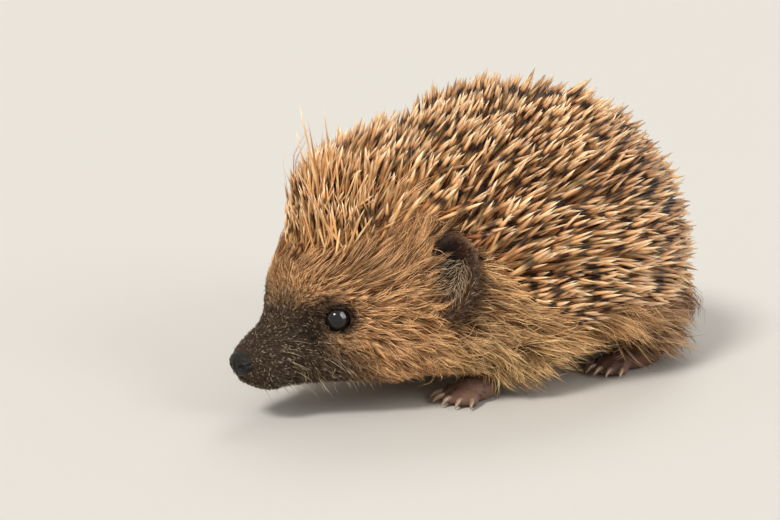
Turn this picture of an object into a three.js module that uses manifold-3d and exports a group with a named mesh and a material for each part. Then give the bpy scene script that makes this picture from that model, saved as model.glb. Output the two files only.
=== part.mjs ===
// A young European hedgehog, life size, standing hunched on four feet with its head low
// and the spines of its brow raised. The solids reach to the tips of the coat, and the
// body is parted by thin cuts into the pieces that a person would name.
// Millimetres, +Z up. The nose points to -Y, so the animal's left side is at +X.

import * as THREE from "three";
import { mergeVertices } from "three/addons/utils/BufferGeometryUtils.js";
import Module from "manifold-3d";

const wasm = await Module();
wasm.setup();

// ---------------------------------------------------------------- driving sizes

const NOSE_Y = -80.2; // the nose tip; every station below is measured back from here
const GAP = 0.3; // clearance between two pieces that meet
const HEAD_BACK = 58; // the cut between head and neck, behind the nose tip
const NECK_BACK = 68; // the cut between neck and trunk
const CROWN_BACK = 62; // the cut between the crown's spines and the back's
const SPINE_DEPTH = 11; // from the tips of the spines in to the body that bears them
const WIDE = 200; // longer than the animal, for cutting shapes

const EYE = { x: 13.1, back: 24.4, z: 28.2, radius: 3.35 };
const EAR = { x: 27, back: 51.5, z: 37, height: 25, width: 16, depth: 9, wall: 1.7 };
const EAR_TURN = [-0.1, 0.16, 0.62]; // radians about x, y and z, for the left ear
const NOSE = { back: 3.9, z: 17.4, halfWidth: 4.4, halfLength: 3.9, halfHeight: 4.1 };

const COLOURS = {
  spines: 0xb08a5c,
  fur: 0x8a6240,
  face: 0x6d4f36,
  muzzle: 0x2d2620,
  nose: 0x1b1817,
  ear: 0x4a3a2c,
  eye: 0x0c0c10,
  foot: 0x6b5040,
};

// The furred body from nose to rump. Each station gives a section's centre and how far
// it reaches sideways, up and down from there.
const BODY = [
  { back: 1.8, z: 16.9, side: 0, up: 0, down: 0 },
  { back: 2.6, z: 16.9, side: 3.0, up: 2.6, down: 2.9 },
  { back: 5.5, z: 16.9, side: 4.8, up: 4.3, down: 4.9 },
  { back: 10, z: 17.2, side: 6.9, up: 6.9, down: 7 },
  { back: 16.5, z: 19, side: 10.4, up: 13, down: 9.4 },
  { back: 21.5, z: 21, side: 15, up: 26.4, down: 11.6 },
  { back: 31, z: 25, side: 20.4, up: 30, down: 16 },
  { back: 42, z: 28, side: 25, up: 31, down: 19.8 },
  { back: 54, z: 30, side: 31, up: 34, down: 22.4 },
  { back: 70, z: 31, side: 37, up: 38, down: 24 },
  { back: 92, z: 32, side: 41, up: 42, down: 25.4 },
  { back: 112, z: 32, side: 41.6, up: 42, down: 25.4 },
  { back: 130, z: 30, side: 38.4, up: 38, down: 23.4 },
  { back: 144, z: 27, side: 31, up: 30, down: 20.2 },
  { back: 153, z: 22.5, side: 21.5, up: 18, down: 15 },
  { back: 157, z: 19, side: 11, up: 8, down: 9.6 },
  { back: 157.8, z: 18.5, side: 0, up: 0, down: 0 },
];

// The spiny mantle, out to the tips of its spines.
const MANTLE = [
  { back: 21.8, z: 53, side: 0, up: 0, down: 0 },
  { back: 22.8, z: 52.5, side: 6.5, up: 5.5, down: 8.5 },
  { back: 26, z: 52.5, side: 13.8, up: 12, down: 14 },
  { back: 32, z: 51.5, side: 21, up: 20, down: 16.5 },
  { back: 44, z: 46, side: 30, up: 28.5, down: 20 },
  { back: 60, z: 40, side: 37.5, up: 37, down: 24 },
  { back: 78, z: 36, side: 43.5, up: 46, down: 26 },
  { back: 98, z: 34, side: 46, up: 51.5, down: 26 },
  { back: 118, z: 33, side: 44.5, up: 49.5, down: 26 },
  { back: 135, z: 32, side: 37.2, up: 39.2, down: 24 },
  { back: 148, z: 30, side: 26.8, up: 27, down: 20 },
  { back: 154, z: 28, side: 17.5, up: 17, down: 14 },
  { back: 157.2, z: 27, side: 8, up: 7, down: 6 },
  { back: 157.8, z: 27, side: 0, up: 0, down: 0 },
];

// The body under the spines, with its two ends closed within the mantle.
const bearing = MANTLE.slice(3, -2).map((s) => ({
  back: s.back,
  z: s.z,
  side: s.side - SPINE_DEPTH,
  up: s.up - SPINE_DEPTH,
  down: s.z - 14,
}));
const CORE = [
  { back: 28.4, z: 49, side: 0, up: 0, down: 0 },
  { back: 29, z: 49, side: 5, up: 6, down: 20 },
  ...bearing,
  { back: 149.4, z: 26, side: 0, up: 0, down: 0 },
];

// The mantle's lower edge in side view: over the brow, above the ear, down behind it
// and back along the flank.
const MANTLE_EDGE = [
  [14, 42],
  [26, 43.2],
  [36, 48.5],
  [45, 53],
  [53, 52.5],
  [58.5, 46],
  [64, 36],
  [74, 27],
  [92, 21.5],
  [112, 19.5],
  [134, 21],
  [166, 25],
];

// The lower jaw in side view, from under the nose to the corner of the mouth.
const JAW_EDGE = [
  [3.5, 12.8],
  [10, 13.5],
  [18, 14.4],
  [24, 14.6],
  [28, 12.6],
  [29.5, 8],
];

// The hollow under the body, between the skirts of hair that hang along its flanks.
const BELLY = { halves: [34, 58, 6], place: [0, 105, 5.5] };

// Rounded swells (+) and hollows (-) on the body, each on both sides.
const SWELLS = [
  { x: 12.5, back: 23.5, z: 33, radius: 4.6, height: 1.2 }, // brow over the eye
  { x: 10, back: 20, z: 27, radius: 4, height: -1.2 }, // hollow before the eye
  { x: 5.6, back: 8.5, z: 14.6, radius: 3.6, height: 0.9 }, // whisker pad
  { x: 0, back: 15, z: 30, radius: 5, height: -0.9 }, // dip of the muzzle's bridge
  { x: 19.5, back: 35, z: 20, radius: 9, height: 2 }, // cheek
  { x: 22, back: 43, z: 40, radius: 6, height: -1.4 }, // hollow before the ear
];

// ---------------------------------------------------------------- shape making

// A closed BufferGeometry as a solid, and back again.
function solidOf(geometry) {
  const bare = geometry.index ? geometry.toNonIndexed() : geometry.clone();
  bare.deleteAttribute("normal");
  bare.deleteAttribute("uv");
  const merged = mergeVertices(bare, 1e-4);
  return new wasm.Manifold(
    new wasm.Mesh({
      numProp: 3,
      vertProperties: merged.attributes.position.array,
      triVerts: new Uint32Array(merged.index.array),
    }),
  );
}

function geometryOf(solid) {
  const mesh = solid.getMesh();
  const geometry = new THREE.BufferGeometry();
  geometry.setAttribute("position", new THREE.BufferAttribute(mesh.vertProperties, 3));
  geometry.setIndex(new THREE.BufferAttribute(mesh.triVerts, 1));
  geometry.computeVertexNormals();
  return geometry;
}

// A closed skin over rings of points that shrink to a point at both ends.
// ringPoint(t, angle) gives the point at t from 0 to 1 along and angle round the ring.
function skin(ringPoint, rings, sides) {
  const at = (i, j) => ringPoint(i / rings, (2 * Math.PI * j) / sides);
  const points = [at(0, 0)];
  for (let i = 1; i < rings; i++) {
    for (let j = 0; j < sides; j++) {
      points.push(at(i, j));
    }
  }
  points.push(at(rings, 0));
  const ring = (i, j) => 1 + (i - 1) * sides + (j % sides);
  const last = points.length - 1;
  const faces = [];
  for (let j = 0; j < sides; j++) {
    faces.push(0, ring(1, j + 1), ring(1, j));
    for (let i = 1; i < rings - 1; i++) {
      const [a, b, c, d] = [ring(i, j), ring(i, j + 1), ring(i + 1, j + 1), ring(i + 1, j)];
      const onLeft = Math.cos((2 * Math.PI * (j + 0.5)) / sides) > 0;
      faces.push(...(onLeft ? [a, b, d, b, c, d] : [a, b, c, a, c, d]));
    }
    faces.push(last, ring(rings - 1, j), ring(rings - 1, j + 1));
  }
  const geometry = new THREE.BufferGeometry().setFromPoints(points);
  geometry.setIndex(faces);
  const made = solidOf(geometry);
  if (made.volume() > 0) return made;
  geometry.setIndex(faces.reverse());
  return solidOf(geometry);
}

// The swells' push on a point, outwards from the section's centre.
function swell(point, centre, swells) {
  const outward = point.clone().sub(centre);
  const length = outward.length();
  if (length < 1e-6) return point;
  outward.divideScalar(length);
  for (const s of swells) {
    for (const side of s.x === 0 ? [0] : [-1, 1]) {
      const away = point.distanceTo(new THREE.Vector3(side * s.x, NOSE_Y + s.back, s.z));
      point.addScaledVector(outward, s.height * Math.exp(-((away / s.radius) ** 2)));
    }
  }
  return point;
}

// A body of upright sections, superellipses whose upper and lower halves differ.
// roundness runs from 1, an ellipse, down to 0, a box.
function bodyOf(stations, [rings, sides], [upper, lower], swells = []) {
  const centres = new THREE.CatmullRomCurve3(
    stations.map((s) => new THREE.Vector3(0, NOSE_Y + s.back, s.z)),
  );
  const sizes = new THREE.CatmullRomCurve3(
    stations.map((s) => new THREE.Vector3(s.side, s.up, s.down)),
  );
  const rounded = (v, roundness) => Math.sign(v) * Math.abs(v) ** roundness;
  return skin(
    (t, angle) => {
      const centre = centres.getPoint(t);
      const size = sizes.getPoint(t);
      const half = Math.sin(angle) > 0 ? upper : lower;
      const across = rounded(Math.cos(angle), half);
      const up = rounded(Math.sin(angle), half);
      const point = new THREE.Vector3(
        centre.x + Math.max(size.x, 0) * across,
        centre.y,
        centre.z + Math.max(up > 0 ? size.y : size.z, 0) * up,
      );
      return swell(point, centre, swells);
    },
    rings,
    sides,
  );
}

// A round limb along a curve, with blunt ends, its radii spread evenly from end to end.
// grown makes it that much larger all over.
function limb(points, radii, [rings, sides], grown = 0) {
  const spine = points.map((p) => new THREE.Vector3(...p));
  const stretch = (end, next) => end.addScaledVector(end.clone().sub(next).normalize(), grown);
  stretch(spine[0], spine[1]);
  stretch(spine.at(-1), spine.at(-2));
  const curve = new THREE.CatmullRomCurve3(spine);
  const widths = new THREE.SplineCurve(
    radii.map((r, i) => new THREE.Vector2(i / (radii.length - 1), r)),
  );
  return skin(
    (t, angle) => {
      const end = Math.sqrt(Math.max(0, 1 - Math.abs(2 * t - 1) ** 6));
      const width = (widths.getPoint(t).y + grown) * end;
      const along = curve.getTangent(t);
      const across = new THREE.Vector3(1, 0, 0).projectOnPlane(along).normalize();
      return curve
        .getPoint(t)
        .addScaledVector(across, width * Math.cos(angle))
        .addScaledVector(along.cross(across), width * Math.sin(angle));
    },
    rings,
    sides,
  );
}

// An ellipsoid, turned and moved into place.
function ellipsoid(halves, centre, turn = [0, 0, 0], detail = [16, 12]) {
  const geometry = new THREE.SphereGeometry(1, ...detail);
  geometry.rotateX(Math.PI / 2);
  geometry.scale(...halves);
  geometry.rotateX(turn[0]).rotateY(turn[1]).rotateZ(turn[2]);
  geometry.translate(...centre);
  return solidOf(geometry);
}

// A side-view outline, given as a curve of [back, z], closed to one side of the animal
// and extruded right across it.
function slab(edge, closing, lift = 0, steps = 2) {
  const curve = new THREE.SplineCurve(edge.map(([back, z]) => new THREE.Vector2(back, z + lift)));
  const shape = new THREE.Shape(curve.getPoints(edge.length * steps));
  for (const [back, z] of closing) {
    shape.lineTo(back, z);
  }
  const geometry = new THREE.ExtrudeGeometry(shape, { depth: WIDE, bevelEnabled: false });
  geometry.rotateX(Math.PI / 2).rotateZ(Math.PI / 2);
  geometry.translate(-WIDE / 2, NOSE_Y, 0);
  return solidOf(geometry);
}

// The upright slice of the animal between two distances behind the nose tip.
function slice(from, to) {
  const geometry = new THREE.BoxGeometry(WIDE, to - from, WIDE);
  geometry.translate(0, NOSE_Y + (from + to) / 2, 0);
  return solidOf(geometry);
}

// A point given as [to the left, back from the nose tip, z].
const placed = ([x, back, z]) => [x, NOSE_Y + back, z];
const mirrored = (solid) => solid.mirror([1, 0, 0]);
const both = (solid) => solid.add(mirrored(solid));
const joined = (solids) => wasm.Manifold.union(solids);

// ---------------------------------------------------------------- head pieces

const eyeBall = (grown = 0) => {
  const half = EYE.radius + grown;
  return ellipsoid([half, half, half], placed([EYE.x, EYE.back, EYE.z]), [0, 0, 0], [12, 8]);
};

// The pinna: a cup, taller than wide, facing forwards and outwards.
const earPlace = placed([EAR.x, EAR.back, EAR.z]);

function earCup(grown = 0) {
  const halves = [EAR.width / 2, EAR.depth / 2, EAR.height / 2].map((h) => h + grown);
  return ellipsoid(halves, earPlace, EAR_TURN, [12, 8]);
}

function ear() {
  const facing = new THREE.Vector3(0, -1, 0).applyEuler(new THREE.Euler(...EAR_TURN, "ZYX"));
  const place = new THREE.Vector3(...earPlace);
  const hollow = ellipsoid(
    [EAR.width / 2 - EAR.wall, EAR.depth / 2 + 0.4, EAR.height / 2 - EAR.wall],
    place.clone().addScaledVector(facing, EAR.wall * 1.6).toArray(),
    EAR_TURN,
    [12, 8],
  );
  const front = new THREE.BoxGeometry(WIDE, WIDE, WIDE);
  front.translate(0, -WIDE / 2, 0);
  front.rotateX(EAR_TURN[0]).rotateY(EAR_TURN[1]).rotateZ(EAR_TURN[2]);
  front.translate(...place.clone().addScaledVector(facing, EAR.depth * 0.16).toArray());
  return earCup().subtract(hollow).subtract(solidOf(front));
}

function nosePad(grown = 0) {
  return ellipsoid(
    [NOSE.halfWidth, NOSE.halfLength, NOSE.halfHeight].map((h) => h + grown),
    placed([0, NOSE.back, NOSE.z]),
    [-0.25, 0, 0],
    [12, 9],
  );
}

const NOSTRIL = [
  [1.5, -0.6, 17.3],
  [2.3, 0.6, 17.6],
  [3.9, 1.9, 18.1],
];
const nose = () => nosePad().subtract(both(limb(NOSTRIL.map(placed), [0.9, 0.85, 0.55], [4, 6])));

// ---------------------------------------------------------------- limbs

const FORELEG = [
  [22, 77, 24],
  [22.5, 75.5, 15],
  [21.2, 69, 4],
];
const HINDLEG = [
  [20.5, 121, 17],
  [23, 124, 12],
  [25.3, 129, 4],
];

const foreleg = (grown = 0) =>
  limb(FORELEG.map(placed), [7.2, 6.8, 6, 5, 4.2], [5, 10], grown);

const hindleg = (grown = 0) =>
  limb(HINDLEG.map(placed), [7.8, 7.8, 6.8, 5.4, 4.2], [5, 10], grown);

// A foot: a sole, five toes fanned out in front of it and a claw on each toe, all cut
// off level with the floor.
function foot(f) {
  const halves = [f.halfWidth, f.halfLength, f.halfHeight];
  const pieces = [ellipsoid(halves, placed([f.x, f.back, f.z]), [0, 0, 0], [10, 6])];
  f.toes.forEach((toe, i) => {
    const fan = (i - 2) / 2;
    const turn = fan * f.spread + f.toeOut;
    const root = f.toeRoot * (1 - 0.16 * fan * fan);
    const along = (distance, z) =>
      placed([
        f.x + fan * f.halfWidth * 0.72 + Math.sin(turn) * distance,
        f.back - root - Math.cos(turn) * distance,
        z,
      ]);
    const tip = toe + f.claw;
    pieces.push(
      limb([along(-2, 2.2), along(toe / 2, 2.4), along(toe, 1.5)], [1.5, 1.8, 1.6], [3, 5]),
      limb([along(toe - 1.4, 2.2), along(tip - 2, 2.5), along(tip, 1)], [0.9, 0.75, 0.5], [3, 4]),
    );
  });
  const above = new THREE.BoxGeometry(WIDE, WIDE * 2, WIDE);
  above.translate(0, 0, WIDE / 2);
  return joined(pieces).intersect(solidOf(above));
}

const FOREFOOT = {
  x: 21,
  back: 66,
  z: 3.1,
  halfWidth: 5.4,
  halfLength: 6.2,
  halfHeight: 3.9,
  toeRoot: 4,
  toes: [3.6, 4.8, 5.2, 4.8, 3.4],
  claw: 4.2,
  spread: 0.55,
  toeOut: 0.12,
};
const HINDFOOT = {
  x: 25.5,
  back: 123,
  z: 3,
  halfWidth: 5.2,
  halfLength: 11.5,
  halfHeight: 3.9,
  toeRoot: 8.8,
  toes: [3, 4.8, 5.2, 4.8, 3.4],
  claw: 4.4,
  spread: 0.4,
  toeOut: 0.2,
};

const TAIL = [
  [0, 148, 19],
  [0, 155, 14.5],
  [0, 160.5, 9],
];
const tail = (grown = 0) => limb(TAIL.map(placed), [3.4, 2.8, 1.7], [6, 8], grown);

// ---------------------------------------------------------------- the animal

// A body's stations, made larger all over by the clearance.
function roomFor(stations) {
  const last = stations.length - 1;
  const grow = (size) => (size > 0 ? size + GAP : 0);
  return stations.map((s, i) => ({
    back: s.back + (i < 2 ? -GAP : 0) + (i > last - 2 ? GAP : 0),
    z: s.z,
    side: grow(s.side),
    up: grow(s.up),
    down: grow(s.down),
  }));
}

const FUR_SHAPE = [0.88, 0.52];
const SPINE_SHAPE = [0.92, 0.8];
const CORE_SHAPE = [1, 0.7];
const fine = bodyOf(BODY, [34, 26], FUR_SHAPE, SWELLS);
const coarse = bodyOf(BODY, [28, 20], FUR_SHAPE);
const spiny = bodyOf(MANTLE, [24, 24], SPINE_SHAPE);
const core = bodyOf(CORE, [14, 14], CORE_SHAPE);
const coreRoom = bodyOf(roomFor(CORE), [14, 14], CORE_SHAPE);

const roof = [
  [WIDE, WIDE],
  [-40, WIDE],
  [-40, MANTLE_EDGE[0][1]],
];
const aboveEdge = slab([...MANTLE_EDGE, [WIDE, 26]], roof);
const aboveEdgeGrown = slab([...MANTLE_EDGE, [WIDE, 26]], roof, -GAP);
const floor = [
  [30, -20],
  [-20, -20],
  [-20, JAW_EDGE[0][1]],
];
const belowMouth = slab(JAW_EDGE, floor);
const belowMouthGrown = slab(JAW_EDGE, floor, GAP);

const earRoom = both(earCup(GAP));
const forelegRoom = foreleg(GAP);
const hindlegRoom = hindleg(GAP);
const sockets = joined([
  both(eyeBall(GAP)),
  both(forelegRoom),
  both(hindlegRoom),
  earRoom,
  nosePad(GAP),
  tail(GAP),
]);
const belly = ellipsoid(BELLY.halves, placed(BELLY.place), [0, 0, 0], [12, 8]);
const furred = (body) => body.subtract(belly).subtract(aboveEdgeGrown).add(core).subtract(sockets);
const flesh = furred(coarse);
const face = furred(fine).intersect(slice(-10, HEAD_BACK));
const mantle = spiny.intersect(aboveEdge).subtract(coreRoom).subtract(earRoom);

const pieces = {
  head: [face.subtract(belowMouthGrown), "face"],
  lower_jaw: [face.intersect(belowMouth), "muzzle"],
  nose: [nose(), "nose"],
  neck: [flesh.intersect(slice(HEAD_BACK + GAP, NECK_BACK)), "fur"],
  trunk: [flesh.intersect(slice(NECK_BACK + GAP, WIDE)), "fur"],
  spines_crown: [mantle.intersect(slice(-10, CROWN_BACK)), "spines"],
  spines_back: [mantle.intersect(slice(CROWN_BACK + GAP, WIDE)), "spines"],
  tail: [tail(), "foot"],
};
const pairs = {
  eye: [eyeBall(), "eye"],
  ear: [ear(), "ear"],
  foreleg: [foreleg(), "foot"],
  forefoot: [foot(FOREFOOT).subtract(forelegRoom), "foot"],
  hindleg: [hindleg(), "foot"],
  hindfoot: [foot(HINDFOOT).subtract(hindlegRoom), "foot"],
};
for (const [name, [solid, material]] of Object.entries(pairs)) {
  pieces[`${name}_left`] = [solid, material];
  pieces[`${name}_right`] = [mirrored(solid), material];
}

const hedgehog = new THREE.Group();
for (const [name, [solid, material]] of Object.entries(pieces)) {
  const mesh = new THREE.Mesh(
    geometryOf(solid),
    new THREE.MeshStandardMaterial({
      color: COLOURS[material],
      roughness: material === "eye" || material === "nose" ? 0.2 : 0.85,
      metalness: 0,
    }),
  );
  mesh.name = name;
  hedgehog.add(mesh);
}

export default hedgehog;
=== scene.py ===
"""The looks of a still, life-size hedgehog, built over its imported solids.

One skin stands for the nodes of flesh. Over it lie the quills of the mantle and the fur, in tufts of closed
strands that follow the lie of the coat. Eyes, nose, claws and whiskers are pieces of their own.
"""

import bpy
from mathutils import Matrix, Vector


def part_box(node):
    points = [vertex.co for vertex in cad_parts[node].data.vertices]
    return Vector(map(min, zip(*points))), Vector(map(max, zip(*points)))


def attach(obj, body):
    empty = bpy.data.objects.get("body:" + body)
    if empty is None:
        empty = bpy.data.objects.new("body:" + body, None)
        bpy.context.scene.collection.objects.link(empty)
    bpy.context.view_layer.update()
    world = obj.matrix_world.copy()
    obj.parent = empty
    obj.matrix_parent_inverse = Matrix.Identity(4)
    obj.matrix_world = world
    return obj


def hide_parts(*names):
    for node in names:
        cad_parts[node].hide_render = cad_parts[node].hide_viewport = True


bl_info = {
    "name": "Hedgehog",
    "version": (1, 0, 0),
    "blender": (4, 5, 0),
    "location": "3D View > Sidebar > Hedgehog",
    "description": "Builds the skin, quills, fur, eyes, nose, claws and whiskers of a still hedgehog",
    "category": "Add Mesh",
}

import math

import bmesh
import bpy
import numpy as np
from bpy.props import FloatProperty, FloatVectorProperty, IntProperty, PointerProperty
from mathutils import Vector
from mathutils.bvhtree import BVHTree

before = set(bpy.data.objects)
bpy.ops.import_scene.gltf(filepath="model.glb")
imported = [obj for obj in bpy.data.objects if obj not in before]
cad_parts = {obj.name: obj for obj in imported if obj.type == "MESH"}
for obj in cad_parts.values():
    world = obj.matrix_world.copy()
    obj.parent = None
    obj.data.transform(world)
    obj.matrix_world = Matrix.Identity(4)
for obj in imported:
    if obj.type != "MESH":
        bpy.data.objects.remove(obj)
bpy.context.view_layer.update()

MM = 0.001
SIDES = {"left": 1, "right": -1}
FLESH = ("head", "lower_jaw", "neck", "trunk")
MANTLE = ("spines_crown", "spines_back")
LIMBS = ("foreleg", "forefoot", "hindleg", "hindfoot", "ear")
ALL_LIMBS = [f"{part}_{side}" for part in LIMBS for side in SIDES]


def middle(node):
    """The middle of a node's box."""
    low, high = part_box(node)
    return np.array((low + high) / 2)


def size(node):
    """The sides of a node's box."""
    low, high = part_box(node)
    return np.array(high - low)


NOSE_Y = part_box("nose")[0].y
RUMP_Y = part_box("trunk")[1].y
NOSE = middle("nose")
EYE = middle("eye_left")
EYE_RADIUS = size("eye_left")[2] / 2
EAR = middle("ear_left")


# ---------------------------------------------------------------- settings


def linear(red, green, blue):
    """A colour given as 0 to 255 on a screen, as Blender holds it."""
    shares = (red / 255, green / 255, blue / 255)
    return tuple(c / 12.92 if c < 0.04045 else ((c + 0.055) / 1.055) ** 2.4 for c in shares)


def length(name, description, default):
    return FloatProperty(name=name, description=description, default=default, min=0, subtype="DISTANCE",
                         unit="LENGTH")


def angle(name, description, degrees):
    return FloatProperty(name=name, description=description, default=math.radians(degrees), subtype="ANGLE",
                         unit="ROTATION")


def number(name, description, default):
    return IntProperty(name=name, description=description, default=default, min=1)


def colour(name, description, *screen):
    return FloatVectorProperty(name=name, description=description, default=linear(*screen), size=3,
                               subtype="COLOR", min=0, max=1)


class HedgehogSkin(bpy.types.PropertyGroup):
    """Sizes of the skin under the coat."""
    first_step: length("First mesh step", "Mesh step while the skin is sunk under the coat", 1.1 * MM)
    step: length("Mesh step", "Mesh step of the finished skin", 0.72 * MM)
    leg_fur: length("Leg fur", "How far the skin of the legs lies under their solids", 0.7 * MM)
    lid_opening: angle("Lid opening", "Angle from the line of sight to the edge of the lids", 70)
    lid_thickness: length("Lid thickness", "How far the lids stand over the eye", 0.22 * MM)


class HedgehogQuills(bpy.types.PropertyGroup):
    """Number, size and colours of the quills."""
    tries: number("Tries", "How many places for a quill are tried on the mantle", 60000)
    spacing: length("Spacing", "Least distance between two roots on the back", 1.6 * MM)
    brow_spacing: length("Brow spacing", "Least distance between two roots over the brow", 1.15 * MM)
    thickness: length("Thickness", "Thickness of a quill where it is widest", 1.2 * MM)
    brow_thickness: length("Brow thickness", "The same for the fine quills over the brow", 0.75 * MM)
    clump: length("Clump", "Distance between the middles of the clumps in which the tips gather", 6.0 * MM)
    shaft: colour("Shaft", "Colour of the lower part of a quill", 232, 158, 88)
    pale_shaft: colour("Pale shaft", "The same in the palest quills", 254, 210, 138)
    band: colour("Band", "Colour of the dark band under the tip", 54, 24, 8)
    tip_base: colour("Tip base", "Colour of the pale tip where it leaves the band", 220, 154, 90)
    tip: colour("Tip", "Colour of the very tip", 246, 208, 152)


class HedgehogFur(bpy.types.PropertyGroup):
    """Number of fur strands on each part."""
    muzzle: number("Muzzle strands", "Short bristly strands on the muzzle", 24000)
    face: number("Face strands", "Strands on forehead, crown and cheeks", 30000)
    flanks: number("Body strands", "Strands on neck, flanks, rump and belly", 27500)
    limbs: number("Limb strands", "Strands on ears, legs, feet and tail", 12500)


class HedgehogColours(bpy.types.PropertyGroup):
    """Colours of skin and fur."""
    tan: colour("Tan", "Fur of forehead and cheeks at the tips", 238, 176, 112)
    # Tan root and muzzle root are partly the darker base of the hair and partly painted shade deep in the
    # coat.
    tan_root: colour("Tan root", "Fur of forehead and cheeks at the roots", 66, 32, 14)
    flank: colour("Flank", "Fur of the flanks at the tips", 255, 196, 126)
    fringe: colour("Fringe", "Lowest hair of the flanks at the tips", 250, 200, 130)
    # The rump colour is partly the hair's own and partly painted shade over the rear.
    rump: colour("Rump", "Hair of the rump at the tips", 196, 150, 104)
    muzzle: colour("Muzzle", "Fur of the muzzle at the tips", 96, 74, 54)
    muzzle_root: colour("Muzzle root", "Fur of the muzzle at the roots", 34, 23, 14)
    speck: colour("Speck", "Pale tips of a few bristles of the muzzle", 220, 200, 164)
    wisp: colour("Wisp", "Pale hair in the ears, and whiskers", 226, 196, 150)
    ear: colour("Ear", "Fuzz of the ears", 140, 100, 68)
    # Painted shade: the near-black in the hollow of the ears stands for the shade in the cup; the same colour
    # darkens the roots round the eyes and ears.
    ear_hollow: colour("Ear hollow", "Skin and fuzz in the hollow of the ears", 30, 20, 15)
    lid: colour("Lid", "Bare skin of the lids", 70, 54, 46)
    nose: colour("Nose", "Leather of the nose", 25, 20, 18)
    claw: colour("Claw", "Horn of the claws", 156, 130, 108)
    sole: colour("Sole", "Bare skin of the feet", 112, 84, 70)


class HedgehogStage(bpy.types.PropertyGroup):
    """Camera, floor and lamps."""
    azimuth: angle("Azimuth", "Direction of the camera, from the front towards the animal's left", 50)
    elevation: angle("Elevation", "Height of the camera over the horizon", 13)
    distance: length("Distance", "Camera to aim", 0.65)
    lens: FloatProperty(name="Lens", description="Focal length on a sensor 36 mm wide, in millimetres",
                        default=109.2, min=1)
    aim: FloatVectorProperty(name="Aim", description="Point that the camera looks at", size=3, unit="LENGTH",
                             subtype="TRANSLATION", default=(-0.0034, -0.0239, 0.0361))
    floor: colour("Floor", "Colour of the floor", 219, 216, 210)
    backdrop: colour("Backdrop", "Colour of the sky where it is seen, that of the lit floor", 236, 231, 221)


# ---------------------------------------------------------------- meshes as arrays


def points_of(mesh):
    found = np.empty(len(mesh.vertices) * 3, np.float32)
    mesh.vertices.foreach_get("co", found)
    return found.reshape(-1, 3).astype(float)


def triangles_of(mesh):
    mesh.calc_loop_triangles()
    found = np.empty(len(mesh.loop_triangles) * 3, np.int32)
    mesh.loop_triangles.foreach_get("vertices", found)
    return found.reshape(-1, 3)


def edges_of(mesh):
    found = np.empty(len(mesh.edges) * 2, np.int32)
    mesh.edges.foreach_get("vertices", found)
    return found.reshape(-1, 2)


def unit(vectors):
    return vectors / np.maximum(np.linalg.norm(vectors, axis=-1, keepdims=True), 1e-12)


def dot(a, b):
    return (a * b).sum(-1, keepdims=True)


def smoothstep(value, low, high):
    """0 below low, 1 above high and a smooth rise between, or a fall where high is the lower one."""
    t = np.clip((value - low) / (high - low), 0, 1)
    return t * t * (3 - 2 * t)


def normals_of(points, triangles):
    """The normal at each point, weighted by area."""
    a, b, c = points[triangles].transpose(1, 0, 2)
    across = np.cross(b - a, c - a)
    corners = triangles.ravel()
    found = [np.bincount(corners, np.repeat(part, 3), len(points)) for part in across.T]
    return unit(np.stack(found, 1))


def averaged(values, edges, rounds, amount):
    """Values at points, drawn rounds times towards the mean of their neighbours, by amount."""
    ends = np.concatenate([edges, edges[:, ::-1]])
    count = np.maximum(np.bincount(ends[:, 0], minlength=len(values)), 1)[:, None]
    shape, values = values.shape, values.reshape(len(values), -1).copy()
    for _ in range(rounds):
        near = np.stack([np.bincount(ends[:, 0], v[ends[:, 1]], len(values)) for v in values.T], 1) / count
        values += amount * (near - values)
    return values.reshape(shape)


def rounded(points, edges, rounds, amount=0.5):
    """Points smoothed without shrinking: each round draws them in, and then a little more out."""
    for _ in range(rounds):
        points = averaged(points, edges, 1, amount)
        points = averaged(points, edges, 1, -1.04 * amount)
    return points


def new_object(name, mesh):
    piece = bpy.data.objects.new(name, mesh)
    bpy.context.scene.collection.objects.link(piece)
    return piece


def mesh_of(name, points, faces):
    """A smooth mesh from arrays of points and of faces with one number of corners."""
    mesh = bpy.data.meshes.new(name)
    mesh.vertices.add(len(points))
    mesh.vertices.foreach_set("co", np.ascontiguousarray(points, np.float32).ravel())
    mesh.loops.add(faces.size)
    mesh.loops.foreach_set("vertex_index", np.ascontiguousarray(faces, np.int32).ravel())
    mesh.polygons.add(len(faces))
    mesh.polygons.foreach_set("loop_start", np.arange(0, faces.size, faces.shape[1], dtype=np.int32))
    mesh.update(calc_edges=True)
    mesh.shade_smooth()
    return mesh


def add_values(mesh, name, values):
    """Keeps a number or a vector for each point, which a material reads by name."""
    kind = ("FLOAT", "value") if values.ndim == 1 else ("FLOAT_VECTOR", "vector")
    layer = mesh.attributes.new(name, kind[0], "POINT")
    layer.data.foreach_set(kind[1], np.ascontiguousarray(values, np.float32).ravel())


def add_map(mesh, places):
    """The map for baking, from a place for each point."""
    corners = np.empty(len(mesh.loops), np.int32)
    mesh.loops.foreach_get("vertex_index", corners)
    layer = mesh.uv_layers.new(name="OFBake")
    layer.uv.foreach_set("vector", np.ascontiguousarray(places[corners], np.float32).ravel())


def taken(shape):
    """Points and triangles of a mesh under construction, which is then freed."""
    points = np.array([v.co for v in shape.verts])
    faces = np.array([[v.index for v in f.verts] for f in shape.faces])
    shape.free()
    return points, faces


def ball(centre, radius, fineness=2):
    """Points and triangles of a ball. Radius is one number or three."""
    shape = bmesh.new()
    bmesh.ops.create_icosphere(shape, subdivisions=fineness, radius=1)
    points, faces = taken(shape)
    return points * radius + centre, faces


def joined(parts):
    """Several (points, triangles) as one."""
    starts = np.cumsum([0] + [len(p) for p, _ in parts[:-1]])
    return np.concatenate([p for p, _ in parts]), np.concatenate([f + s for (_, f), s in zip(parts, starts)])


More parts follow.
